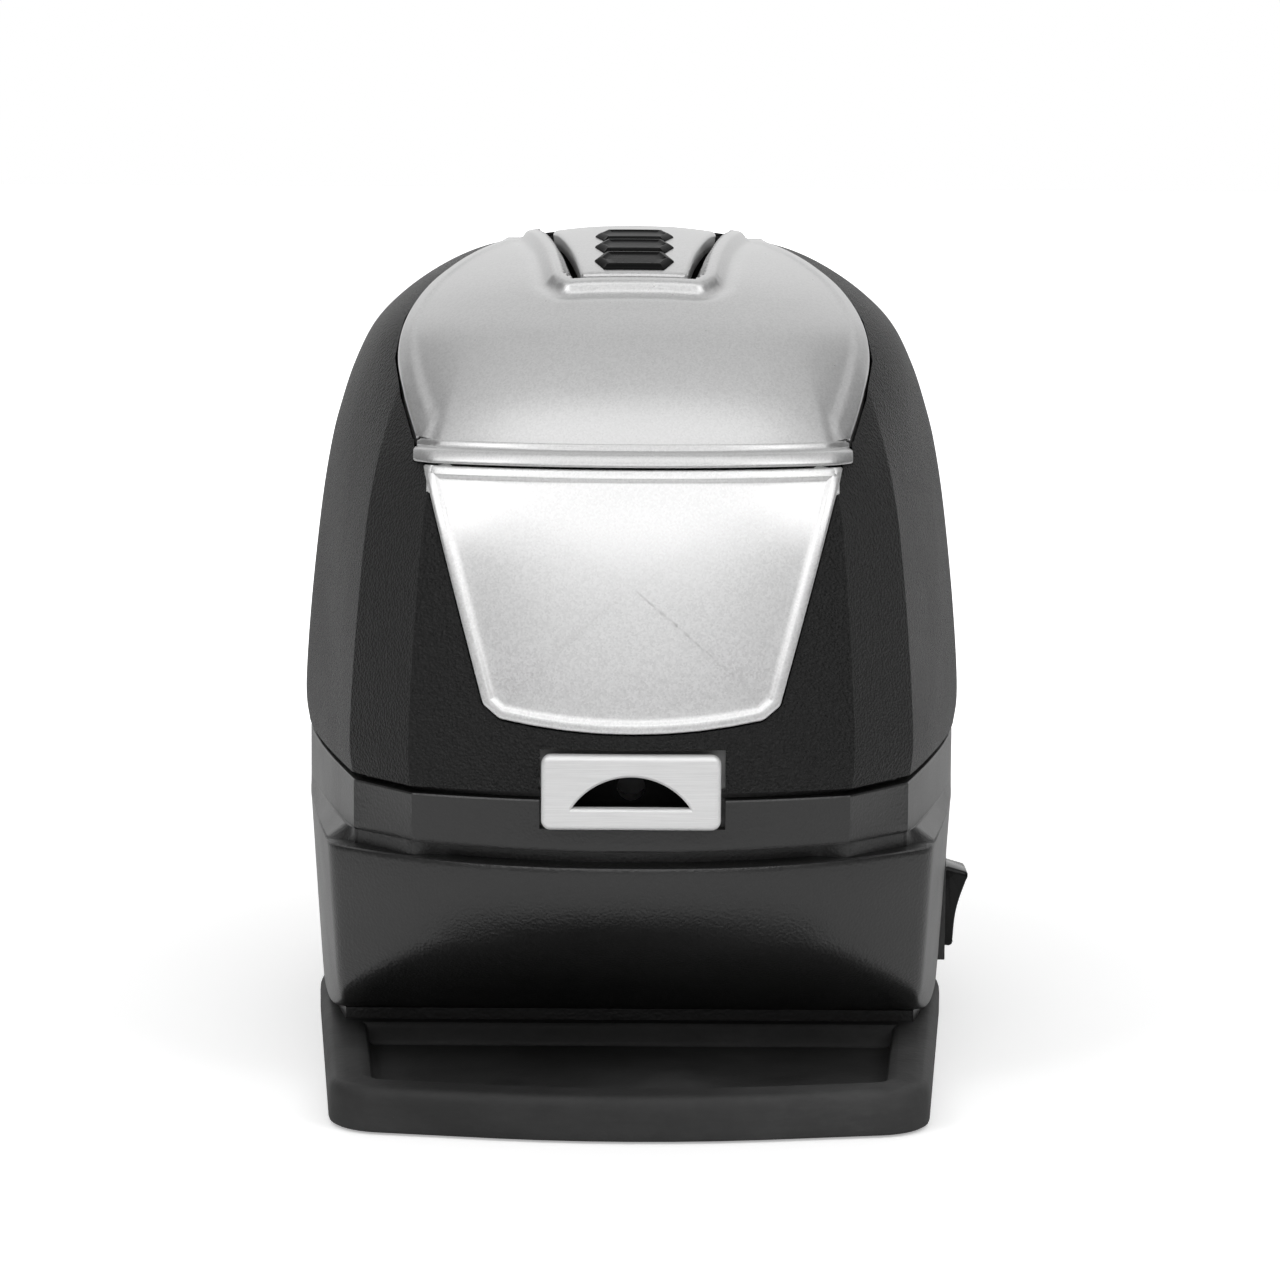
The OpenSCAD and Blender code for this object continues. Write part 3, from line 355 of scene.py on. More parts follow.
def round_polygon(points, radii, per_corner=8, spacing=1.5):
    """A closed outline with arcs at its corners and even points along its sides."""
    pts = [np.array(p, float) for p in points]
    out = []
    for i, b in enumerate(pts):
        a, c = pts[i - 1], pts[(i + 1) % len(pts)]
        before, after = np.linalg.norm(a - b), np.linalg.norm(c - b)
        u, v = (a - b) / before, (c - b) / after
        if np.linalg.norm(u + v) < 1e-3:
            out.append(b)
            continue
        half = math.acos(max(-1, min(1, float(u @ v)))) / 2
        r = radii[i] if isinstance(radii, (list, tuple)) else radii
        reach = min(r / math.tan(half), MOST_OF_SIDE * before, MOST_OF_SIDE * after)
        r = reach * math.tan(half)
        centre = b + (u + v) / np.linalg.norm(u + v) * (r / math.sin(half))
        start, end = b + u * reach - centre, b + v * reach - centre
        a0, a1 = math.atan2(start[1], start[0]), math.atan2(end[1], end[0])
        turn = (a1 - a0 + math.pi) % (2 * math.pi) - math.pi
        for k in range(per_corner + 1):
            angle = a0 + turn * k / per_corner
            out.append(centre + r * np.array([math.cos(angle), math.sin(angle)]))
    dense = []
    for i, a in enumerate(out):
        b = out[(i + 1) % len(out)]
        steps = max(1, int(np.linalg.norm(b - a) / spacing))
        dense += [a + (b - a) * k / steps for k in range(steps)]
    return np.array(dense)


def outline_normals(outline):
    """Unit normals that point into a closed outline."""
    ahead = np.roll(outline, -1, axis=0) - np.roll(outline, 1, axis=0)
    ahead /= np.maximum(np.linalg.norm(ahead, axis=1, keepdims=True), 1e-9)
    x, y = outline[:, 0], outline[:, 1]
    area = np.sum(x * np.roll(y, -1) - np.roll(x, -1) * y)
    inward = np.stack([-ahead[:, 1], ahead[:, 0]], axis=1)
    return inward if area > 0 else -inward


def whole_ring(x, y, z):
    """A closed ring at height z from its right half, listed from the front to the rear."""
    half = list(zip(x, y))
    return [(px, py, z) for px, py in half + [(-p[0], p[1]) for p in half[-2:0:-1]]]


def patch(name, outline, insets, surface, inner_rows, back, **kw):
    """A plate on a surface: insets is a list of (distance from the edge, height above the surface),
    surface turns plan points and heights into places."""
    gaps = np.linalg.norm(outline - np.roll(outline, 1, axis=0), axis=1)
    outline = outline[gaps > MIN_GAP]
    inward = outline_normals(outline)
    centre = outline.mean(axis=0)
    count = len(outline)
    rows = [surface(outline + inward * d, np.full(count, h)) for d, h in [(0.0, -back)] + insets]
    edge, height = insets[-1]
    last = outline + inward * edge
    for k in range(1, inner_rows):
        rows.append(surface(last + (centre - last) * (k / inner_rows), np.full(count, height)))
    verts = [p for r in rows for p in r] + [surface(centre[None, :], np.array([height]))[0]]
    faces = grid_faces(len(rows), count, closed=True)
    base, tip = (len(rows) - 1) * count, len(verts) - 1
    faces += [[base + i, base + (i + 1) % count, tip] for i in range(count)]
    faces.append(list(range(count))[::-1])
    return new_object(name, verts, faces, **kw)


def box_object(name, lo, hi):
    x0, y0, z0 = lo
    x1, y1, z1 = hi
    verts = [(x, y, z) for x in (x0, x1) for y in (y0, y1) for z in (z0, z1)]
    faces = [(0, 1, 3, 2), (4, 6, 7, 5), (0, 4, 5, 1), (2, 3, 7, 6), (0, 2, 6, 4), (1, 5, 7, 3)]
    return new_object(name, verts, faces, smooth=False)


def prism_z(name, outline, z0, z1):
    """A vertical prism over a plan outline, for cutting."""
    rows = [[(x, y, z0) for x, y in outline], [(x, y, z1) for x, y in outline]]
    return grid_object(name, rows, smooth=False)


def prism_y(name, outline, y0, y1):
    """A prism along y over a front outline of x and z, for cutting."""
    rows = [[(x, y0, z) for x, z in outline], [(x, y1, z) for x, z in outline]]
    return grid_object(name, rows, smooth=False)


def dome_shading(obj):
    """Gives the outer skin the dome's own normals, so cuts leave no marks in the shading."""
    mesh = obj.data
    loops = []
    for p in mesh.polygons:
        p.use_smooth = True
        centre, flat = np.array(p.center) / MM, np.array(p.normal)
        for li in p.loop_indices:
            v = np.array(mesh.vertices[mesh.loops[li].vertex_index].co) / MM
            loops.append((li, v + (centre - v) * CORNER_PULL, flat))
    wanted = dome_normals([x[1] for x in loops])
    result = [None] * len(mesh.loops)
    for (li, _, flat), w in zip(loops, wanted):
        result[li] = tuple(w) if float(np.dot(flat, w)) > SKIN_LIMIT else tuple(flat)
    mesh.normals_split_custom_set(result)


# ---- Materials ----
class Tree:
    """Short names for building a node tree."""

    def __init__(self, tree):
        self.tree = tree

    def first(self, kind):
        return next(n for n in self.tree.nodes if n.type == kind)

    def add(self, kind, **props):
        node = self.tree.nodes.new(kind)
        for k, v in props.items():
            setattr(node, k, v)
        return node

    def link(self, a, b):
        self.tree.links.new(a, b)

    def feed(self, node, values):
        """values: input names or numbers, each with a socket to link or a value to set."""
        for k, v in values.items():
            if hasattr(v, "links"):
                self.link(v, node.inputs[k])
            else:
                node.inputs[k].default_value = v

    def mix(self, fac, a, b, blend_type="MIX"):
        n = self.add("ShaderNodeMix", data_type="RGBA", blend_type=blend_type)
        self.feed(n, {0: fac, 6: a, 7: b})
        return n.outputs[2]

    def maths(self, op, a, b):
        n = self.add("ShaderNodeMath", operation=op)
        self.feed(n, {0: a, 1: b})
        return n.outputs[0]

    def smooth_range(self, value, near, far, first, last):
        n = self.add("ShaderNodeMapRange", interpolation_type="SMOOTHSTEP")
        self.feed(n, {"Value": value, "From Min": near, "From Max": far, "To Min": first, "To Max": last})
        return n.outputs["Result"]


class Material(Tree):
    """A principled material, with textures in the object's own coordinates."""

    def __init__(self, name):
        self.mat = bpy.data.materials.new(name)
        self.mat.use_nodes = True
        super().__init__(self.mat.node_tree)
        self.bsdf = self.first("BSDF_PRINCIPLED")
        self.coords = self.add("ShaderNodeTexCoord").outputs["Object"]

    def set(self, **values):
        self.feed(self.bsdf, {k.replace("_", " "): v for k, v in values.items()})

    def noise(self, scale, detail=4.0, rough=0.6, stretch=None):
        n = self.add("ShaderNodeTexNoise")
        place = self.coords
        if stretch is not None:
            m = self.add("ShaderNodeMapping")
            self.feed(m, {"Scale": stretch, "Vector": self.coords})
            place = m.outputs["Vector"]
        self.feed(n, {"Scale": scale, "Detail": detail, "Roughness": rough, "Vector": place})
        return n.outputs["Fac"]

    def cells(self, scale, feature="F1", output="Distance"):
        n = self.add("ShaderNodeTexVoronoi", feature=feature)
        self.feed(n, {"Scale": scale, "Vector": self.coords})
        return n.outputs[output]

    def ramp(self, value, stops):
        """stops: list of (position, colour or grey)."""
        n = self.add("ShaderNodeValToRGB")
        els = n.color_ramp.elements
        while len(els) < len(stops):
            els.new(0.5)
        for e, (pos, col) in zip(els, stops):
            e.position = pos
            e.color = (col, col, col, 1) if isinstance(col, (int, float)) else (*col, 1)
        self.link(value, n.inputs["Fac"])
        return n.outputs["Color"]

    def specks(self, scale, width, where, gate, amount):
        """Small dots of a cell pattern, kept where a noise passes a gate."""
        dots = self.ramp(self.cells(scale), [(0.0, 1.0), (width, 0.0)])
        area = self.ramp(where, [(gate[0], 0.0), (gate[1], 1.0)])
        return self.maths("MULTIPLY", self.maths("MULTIPLY", dots, area), amount)

    def bump(self, height, strength, distance, before=None):
        n = self.add("ShaderNodeBump")
        self.feed(n, {"Strength": strength, "Distance": distance, "Height": height})
        if before is not None:
            self.link(before, n.inputs["Normal"])
        return n.outputs["Normal"]


def black_plastic(name, base, rough, grain, grain_scale, shine, dust=0.25):
    """Moulded black plastic: leathery grain, uneven gloss and a few pale specks of dust."""
    m = Material(name)
    colour = m.ramp(m.noise(28.0, 5.0), [(0.3, base * 0.85), (0.7, base * 1.2)])
    dusty = m.specks(420.0, 0.035, m.noise(60.0, 2.0), (0.60, 0.68), dust)
    fine = m.maths("MULTIPLY", m.cells(grain_scale, "SMOOTH_F1"), 0.7)
    finer = m.maths("MULTIPLY", m.noise(grain_scale * 2.2, 3.0), 0.3)
    dents = m.bump(m.noise(120.0, 5.0, 0.6), 0.10, 0.0010)
    m.set(Base_Color=m.mix(dusty, colour, (0.22, 0.22, 0.22, 1)),
          Roughness=m.ramp(m.noise(14.0, 6.0), [(0.3, rough - 0.06), (0.7, rough + 0.06)]),
          Normal=m.bump(m.maths("ADD", fine, finer), grain, 0.0009, dents),
          Specular_IOR_Level=shine)
    return m.mat


def silver_paint(name, base, rough=0.34):
    """Metallic silver lacquer: fine flakes under a clear coat, with slow waviness."""
    m = Material(name)
    grey = m.add("ShaderNodeRGBToBW")
    m.link(m.cells(2600.0, output="Color"), grey.inputs[0])
    flakes = grey.outputs[0]
    tone = m.ramp(flakes, [(0.1, base * 0.93), (0.8, base * 1.06)])
    slow = m.ramp(m.noise(20.0, 4.0), [(0.3, 0.97), (0.7, 1.0)])
    m.set(Base_Color=m.mix(1.0, tone, slow, "MULTIPLY"),
          Roughness=m.ramp(flakes, [(0.0, rough - 0.07), (1.0, rough + 0.09)]),
          Normal=m.bump(flakes, 0.042, 0.0001), Metallic=0.75, Coat_Weight=0.25, Coat_Roughness=0.12)
    return m.mat


def brushed_metal(name, base, rough, along, depth, metal):
    """Brushed metal with fine lines."""
    m = Material(name)
    lines = m.noise(90.0, 6.0, 0.7, stretch=along)
    m.set(Base_Color=m.ramp(lines, [(0.25, base * 0.86), (0.75, base * 1.06)]),
          Roughness=m.ramp(lines, [(0.2, rough - 0.05), (0.8, rough + 0.1)]),
          Normal=m.bump(lines, depth, 0.0002), Metallic=metal)
    return m.mat


def rubber(name, base, rough):
    """Moulded rubber with a dusty, cloudy surface and speckles."""
    m = Material(name)
    clouds = m.noise(22.0, 7.0, 0.65)
    streaks = m.noise(9.0, 6.0, 0.7, stretch=(1.0, 1.0, 3.5))
    dust = m.maths("MULTIPLY", clouds, streaks)
    colour = m.ramp(dust, [(0.16, base * 0.7), (0.30, base * 1.25), (0.45, base * 2.2)])
    spots = m.specks(520.0, 0.05, m.noise(75.0, 3.0), (0.54, 0.62), 0.5)
    waves = m.bump(m.noise(34.0, 4.0, 0.55), 0.35, 0.0012)
    m.set(Base_Color=m.mix(spots, colour, (0.16, 0.16, 0.16, 1)),
          Roughness=m.ramp(clouds, [(0.3, rough - 0.08), (0.7, rough + 0.12)]),
          Normal=m.bump(m.noise(520.0, 4.0, 0.6), 0.22, 0.0005, waves), Specular_IOR_Level=0.35)
    return m.mat


def plain_metal(name, base, rough=0.35, tint=(1, 1, 1)):
    """Cast or turned metal with mottling and small scratches."""
    m = Material(name)
    low = tuple(base * 0.85 * c for c in tint)
    high = tuple(min(1, base * 1.1 * c) for c in tint)
    m.set(Base_Color=m.ramp(m.noise(70.0, 5.0), [(0.3, low), (0.7, high)]),
          Roughness=m.ramp(m.noise(160.0, 4.0), [(0.3, rough - 0.08), (0.7, rough + 0.1)]),
          Normal=m.bump(m.noise(700.0, 3.0), 0.08, 0.0002), Metallic=1.0)
    return m.mat


def tinted_plastic(name, colour, rough):
    """Smooth moulded plastic with slight tone changes."""
    m = Material(name)
    low = tuple(c * 0.95 for c in colour)
    high = tuple(min(1, c * 1.04) for c in colour)
    m.set(Base_Color=m.ramp(m.noise(30.0, 4.0), [(0.2, low), (0.8, high)]),
          Roughness=m.ramp(m.noise(90.0, 3.0), [(0.3, rough - 0.06), (0.7, rough + 0.06)]),
          Normal=m.bump(m.noise(900.0, 2.0), 0.06, 0.0002))
    return m.mat


GRAINED = black_plastic("grained_black", base=0.008, rough=0.42, grain=1.0, grain_scale=1800.0,
                        shine=0.34)
SMOOTH_BLACK = black_plastic("smooth_black", base=0.014, rough=0.33, grain=0.16, grain_scale=1700.0,
                             shine=0.72)
GLOSS_BLACK = black_plastic("gloss_black", base=0.005, rough=0.17, grain=0.03, grain_scale=1500.0,
                            dust=0.1, shine=0.22)
SILVER = silver_paint("silver_lacquer", base=0.66)
# painted light: a lighter copy of the silver lacquer for the front panel, which faces the lamps
SILVER_LIT_PANEL = silver_paint("silver_lacquer_lit_panel", base=0.86, rough=0.40)
STEEL = brushed_metal("brushed_steel", base=0.93, rough=0.38, along=(1, 60, 60), depth=0.03, metal=0.35)
# painted shade: a darker, less reflective copy of the gloss black, so the grips stay black instead of
# mirroring the bright backdrop
GRIP_SHADED_BLACK = black_plastic("grip_shaded_black", base=0.003, rough=0.30, grain=0.03, grain_scale=1500.0,
                           dust=0.05, shine=0.08)
RUBBER = rubber("dusty_rubber", 0.034, 0.62)
ZINC = plain_metal("zinc_plate", 0.55)
CAST = plain_metal("cast_aluminium", 0.62, 0.42)
BRASS = plain_metal("brass", 0.62, 0.3, tint=(1.0, 0.8, 0.42))
SPRING = plain_metal("spring_wire", 0.5, 0.3)
# painted shade: a near-black for the nozzle insert, so the inside of the nozzle's mouth stays dark
MOUTH_PAINTED_SHADE = black_plastic("mouth_painted_shade", base=0.002, rough=0.6, grain=0.1, grain_scale=900.0, dust=0.0,
                            shine=0.08)
CLEAR_GREY = tinted_plastic("tank_plastic", (0.5, 0.52, 0.53), 0.3)
BOARD = tinted_plastic("circuit_board", (0.03, 0.13, 0.06), 0.4)

SLOT_MATERIALS = {
    "black_textured_plastic": GRAINED, "black_smooth_plastic": SMOOTH_BLACK, "silver_painted_plastic": SILVER,
    "black_gloss_plastic": GLOSS_BLACK, "rubber": RUBBER, "brushed_steel": STEEL, "aluminium": CAST,
    "zinc_steel": ZINC, "brass": BRASS, "clear_grey_plastic": CLEAR_GREY, "circuit_board": BOARD,
    "spring_steel": SPRING}


def dress(obj, material, body, slot_name, *nodes):
    """Gives a piece its material and body, and hides the nodes it stands for; the slot name is not used."""
    obj.data.materials.clear()
    obj.data.materials.append(material)
    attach(obj, body)
    if nodes:
        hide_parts(*nodes)
    return obj


def paint_nodes():
    slots = {s["node"]: s["material_slot"] for s in frame["record"]["subparts"]}
    for name, obj in frame["nodes"].items():
        # the nozzle insert takes the mouth's painted shade instead of its slot's material
        mat = MOUTH_PAINTED_SHADE if name == "nozzle_insert" else SLOT_MATERIALS[slots[name]]
        obj.data.materials.clear()
        obj.data.materials.append(mat)


# ---- Upper housing ----
LID_SIDE = [(30.5, 3.0), (30.5, -2.0), (35.0, -10.5), (40.5, -18.5), (46.0, -27.0), (50.0, -38.0),
            (51.5, -50.0), (49.6, -63.0), (46.0, -76.0)]


def full_ring(t, offset=0.0):
    """Closed ring of the dome at station t, moved in by the offset."""
    z, w, f, r, m = (float(v) for v in station(np.array(float(t))))
    xs, ys = creased_points()
    a = np.arctan2(xs, -ys)
    radius = (1 - m) * np.hypot(xs, ys) + m * round_radius(a)
    px, py = np.sin(a) * radius, -np.cos(a) * radius
    x = px * max(w - offset, 0.01)
    y = np.where(py < 0, py * max(f - offset, 0.01), py * max(r - offset, 0.01))
    return whole_ring(x, y, z - offset * (z - SPLIT_Z) / DOME_H)


def plate_cutter(name, rear):
    """The nozzle plate's opening in a housing, as deep as its rear."""
    return box_object(name, (-19.1, -115, PLATE_Z - 8.15), (19.7, rear, PLATE_Z + 8.7))


def upper_housing():
    stations = np.concatenate([np.linspace(0, 4, 34)[:-1], np.linspace(4, TOP_T - 0.02, 90)])
    inner = np.linspace(0, TOP_T - 0.3, 40)[::-1]
    rows = [full_ring(t, WALL) for t in inner] + [full_ring(t) for t in stations]
    body = grid_object("upper_housing_shell", rows)
    lip_reach = LIP_HALF + LID_GAP
    side = [(x + LID_GAP, y) for x, y in LID_SIDE[1:]]
    hole = mirrored([(0, 3.4), (LID_SIDE[0][0] + LID_GAP, 3.4)] + side + [(lip_reach, -115), (0, -115)])
    cutters = [prism_z("cut_lid", hole, LID_Z - LID_GAP, ABOVE_ALL),
               box_object("cut_lip", (-lip_reach, -120, LID_Z - LIP_H - 0.3), (lip_reach, -58, LID_Z + 1)),
               box_object("cut_button", (-21.6, -50, LID_Z), (21.6, 8.8, ABOVE_ALL)),
               plate_cutter("cut_nozzle", -98)]
    for x0, x1 in ((-31.2, -20.9), (20.9, 31.2)):
        cutters.append(box_object("cut_horn", (x0, 1, 173), (x1, 11.5, 190)))
    # the panel's recess keeps a floor just under the panel
    panel_cut = prism_y("cut_panel", panel_outline(0.35), -125, -BODY_FRONT / 2)
    core = [full_ring(t, PANEL_RECESS) for t in np.linspace(0, TOP_T - 0.1, 60)]
    cut(panel_cut, [grid_object("recess_floor", core)])
    cut(body, cutters + [panel_cut])
    dome_shading(body)
    return dress(body, GRAINED, "housing", "black_textured_plastic", "upper_housing")


# ---- Front panel ----
def panel_outline(grow=0.0):
    """The panel in x and z: straight leaning sides and a bowed lower edge."""
    low, drop, bow = 89.0, 2.9, 2.7
    bottom = [(27.5 * (1 - t), low - drop - bow * (1 - (1 - t) ** 2) - grow) for t in np.linspace(0, 1, 5)]
    full = mirrored([(44.2 + grow, 137.4 + grow), (31.0 + grow, low)] + bottom)
    radii = [0.6, 2.2, 3.0] + [8.0] * 4
    return round_polygon(full, radii + radii[:-1][::-1], spacing=1.2)


def front_panel():
    """The panel with its raised rim and its field a little lower."""
    rim = 2.3
    insets = [(0.0, -0.2), (0.05, 0.25), (0.2, 0.52), (0.45, 0.68), (0.8, 0.72), (rim - 0.5, 0.72),
              (rim - 0.2, 0.62), (rim, 0.4), (rim + 0.25, 0.24), (rim + 0.5, 0.16), (rim + 1.2, 0.12),
              (rim + 3.0, 0.1)]
    plate = patch("front_panel_plate", panel_outline(), insets, front_surface, 22, 1.2, angle=60)
    # the panel takes the lighter copy of the silver, painted light
    return dress(plate, SILVER_LIT_PANEL, "housing", "silver_painted_plastic", "front_panel")


# ---- Lid, lip and hinge horns ----
def distance(points, others):
    """Distance of each point to the nearest of the others."""
    return np.min(np.linalg.norm(points[:, None, :] - others[None, :, :], axis=2), axis=1)


def both_sides(side, front):
    """A line down one side, along the front and up the other side."""
    half = np.vstack([side, front[1:]])
    return np.vstack([half, half[-2::-1] * [-1, 1]])


def lid():
    """A horseshoe between the notch and the outer edge, with a stepped rim and a raised collar."""
    side_n, front_n, across = 90, 60, 64
    outer_side = smooth_line(LID_SIDE, side_n)
    lip_x = np.linspace(LIP_HALF, 0, front_n)
    lip_line = np.stack([lip_x, dome_front(lip_x, np.full(front_n, LID_Z + 0.05))], axis=1)
    outer_side[-1] = lip_line[0]
    corner = NOTCH[-1][0]
    inner_side = smooth_line(NOTCH + [(corner - 0.5, -44.6), (corner - 2.2, NOTCH_FRONT)], side_n)
    inner_x = np.linspace(corner - 2.2, 0, front_n)
    outer = both_sides(outer_side, lip_line)
    inner = both_sides(inner_side, np.stack([inner_x, np.full(front_n, NOTCH_FRONT)], axis=1))
    sides = np.vstack([outer_side, outer_side * [-1, 1]])
    top_rows = []
    for turn in np.linspace(0, 1, across):
        share = 0.5 - 0.5 * np.cos(math.pi * turn)      # fine near both edges
        line = inner + (outer - inner) * share
        h = collar(distance(line, inner[::3])) + rim_step(distance(line, sides))
        top_rows.append(top_surface(line, h))
    # the collar's flank goes down and in round the button, the outer edge goes down
    tangent = np.gradient(inner, axis=0)
    tangent /= np.linalg.norm(tangent, axis=1)[:, None]
    inward = np.stack([tangent[:, 1], -tangent[:, 0]], axis=1)
    inward *= np.where(np.sum(inward * (np.array([0, -20.0]) - inner), axis=1) < 0, -1, 1)[:, None]
    under_in = top_rows[0] + np.column_stack([inward * 1.5, np.full(len(inner), -2.4)])
    under_out = top_rows[-1] + np.where(outer[:, 1:2] < -74, [[0, 2.0, 0]], [[0, 0, -2.6]])
    rows = [under_in + [0, 0, -1.6], under_in] + top_rows + [under_out]
    obj = grid_object("lid_shell", rows, closed=False, angle=50)
    solid = obj.modifiers.new("thickness", "SOLIDIFY")
    solid.thickness = 0.9 * MM
    solid.offset = -1
    apply_modifiers(obj)
    shade(obj, 50)
    return dress(obj, SILVER, "lid_body", "silver_painted_plastic", "lid")


def hinge_horns():
    """Barrels under the lid's rear corners that turn on the hinge pins."""
    y0, z0 = HINGE
    a = np.linspace(0, 2 * math.pi, 60, endpoint=False)
    circle = [(y0 + BARREL_R * math.cos(k), z0 + BARREL_R * math.sin(k)) for k in a]
    outline = convex_hull(circle + [(-2.2, 180.2), (-2.2, 177.5)])
    middle = outline.mean(axis=0)
    ends = ((23.5, 0.92), (23.7, 0.97), (24.1, 1.0), (28.9, 1.0), (29.3, 0.97), (29.5, 0.92))
    for i, s in enumerate((-1, 1)):
        rows = [[(s * x, y, z) for y, z in middle + (outline - middle) * shrink] for x, shrink in ends]
        horn = grid_object("lid_horn_%d" % (i + 1), rows, angle=35)
        dress(horn, SILVER, "lid_body", "silver_painted_plastic")


def collar(d):
    """Raised ridge round the notch: rolls up from the notch's edge and sinks into the field."""
    up = np.clip(d / 1.0, 0, 1)
    ridge = 1.45 * np.sqrt(np.clip(1 - (1 - up) ** 2, 0, 1)) * (1 - soft_step(d, 2.2, 2.4))
    return ridge - 0.2 - 0.5 * np.exp(-((d - 5.4) / 1.5) ** 2)


def rim_step(d):
    """Rounded outer edge, a flat rim and a soft step down to the field."""
    edge = 0.9 - np.sqrt(np.clip(0.81 - (0.9 - np.clip(d, 0, 0.9)) ** 2, 0, None))
    return 0.55 - edge - 0.55 * soft_step(d, 2.8, 1.6)


def lid_lip():
    """Rounded finger lip along the lid's front edge."""
    low, top = LID_Z - LIP_H, LID_Z
    end_r = 1.2
    profile = [(-2.2, low), (0.9, low), (1.45, low + 0.15), (1.7, low + 0.45), (LIP_PROUD, low + 0.9),
               (LIP_PROUD, top - 2.3), (LIP_PROUD - 0.15, top - 1.95), (LIP_PROUD - 0.5, top - 1.7),
               (LIP_PROUD - 1.1, top - 1.55), (-0.1, top - 1.45), (-0.25, top - 1.3), (-0.05, top - 0.7),
               (0.1, top - 0.3), (0.0, top - 0.02), (-2.2, top - 0.02)]
    rows = []
    for x in np.linspace(-LIP_HALF, LIP_HALF, 120):
        end = min(1.0, (LIP_HALF - abs(x)) / end_r)
        pull = 1.0 - math.sqrt(max(0.0, 1 - (1 - end) ** 2))
        y = float(dome_front(np.array([x]), np.array([top - LIP_H / 2]))[0])
        n = dome_normals(np.array([[x, y, top - LIP_H / 2]]))[0]
        flat = np.array([n[0], n[1], 0])
        flat /= np.linalg.norm(flat)
        row = []
        for out, z in profile:
            y = float(dome_front(np.array([x]), np.array([z]))[0])
            o = out - (end_r * pull if out > 0 else 0)
            row.append((x + flat[0] * o, y + flat[1] * o, z))
        rows.append(row)
    obj = grid_object("lid_lip_bar", rows, angle=40)
    return dress(obj, SILVER, "lid_body", "silver_painted_plastic", "lid_lip")


# ---- Push button with its three grips ----
def button_outline():
    right = [(0, BUTTON_FRONT), (11.6, BUTTON_FRONT), (13.6, -30), (16.2, -15), (18.6, -2),
             (18.6, BUTTON_REAR), (0, BUTTON_REAR)]
    radii = [0.5, 1.2, 14, 14, 6, 1.5, 0.5]
    return round_polygon(mirrored(right), radii + radii[1:-1][::-1], spacing=1.2)


def push_button():
    insets = [(0.0, -0.7), (0.08, -0.35), (0.3, -0.05), (0.7, 0.13), (1.2, 0.2), (2.5, 0.2)]
    cap = patch("push_button_cap", button_outline(), insets, top_surface, 20, 3.6, angle=50)
    return dress(cap, SILVER, "button_body", "silver_painted_plastic", "push_button")


def button_grips():
    """Three raised hexagons in a row, each with a sunk middle facet and a sharp ridge."""
    right, edge, half = 8.8, 6.6, 5.0
    insets = [(0.0, 0.15), (0.1, 0.45), (0.45, 0.75), (1.3, 1.2), (1.6, 1.2), (2.0, 0.95), (2.5, 0.8)]
    for i in range(3):
        y = -36.9 + 2 * half * i
        hexagon = [(right, y), (edge, y + half), (-edge, y + half), (-right, y), (-edge, y - half),
                   (edge, y - half)]
        outline = round_polygon(hexagon, 0.2, per_corner=3, spacing=0.7)
        grip = patch("button_grip_%d" % (i + 1), outline, insets, top_surface, 5, -0.15, angle=28)
        # the grips take the darker copy of the gloss black, painted shade
        dress(grip, GRIP_SHADED_BLACK, "button_body", "black_gloss_plastic", "button_grips")


# ---- Lower housing ----
FRONT_COLUMNS, SIDE_COLUMNS, REAR_COLUMNS = 151, 120, 110
LEDGE_RUN = 9.0          # how far behind the corner the belly's ledge has gone


def band_half(z, pull=0.0):
    """Half outline of the band above the belly, its creases moving back as it goes down."""
    t = min(1.0, (SPLIT_Z - z) / (SPLIT_Z - GROOVE_TOP))
    xs, ys = creased_points(BAND_FALL * t, 116, 31, SIDE_COLUMNS - 1, REAR_COLUMNS)
    y = np.where(ys < 0, ys * (BODY_FRONT - pull), ys * (BODY_REAR - pull))
    return xs * (LOWER_HALF - pull), y


def belly_half(half, front):
    """Half outline of the belly with its corner rounded off."""
    xs, ys = belly_points(FRONT_COLUMNS - 1, SIDE_COLUMNS, REAR_COLUMNS)
    x, y = xs * half, np.where(ys < 0, ys * front, ys * BODY_REAR)
    corner, reach = FRONT_COLUMNS - 1, 10
    before, near, after = (slice(corner - reach + k, corner + reach + 1 + k) for k in (-1, 0, 1))
    for _ in range(14):
        for line in (x, y):
            line[near] = (line[before] + line[near] + line[after]) / 3
    return x, y


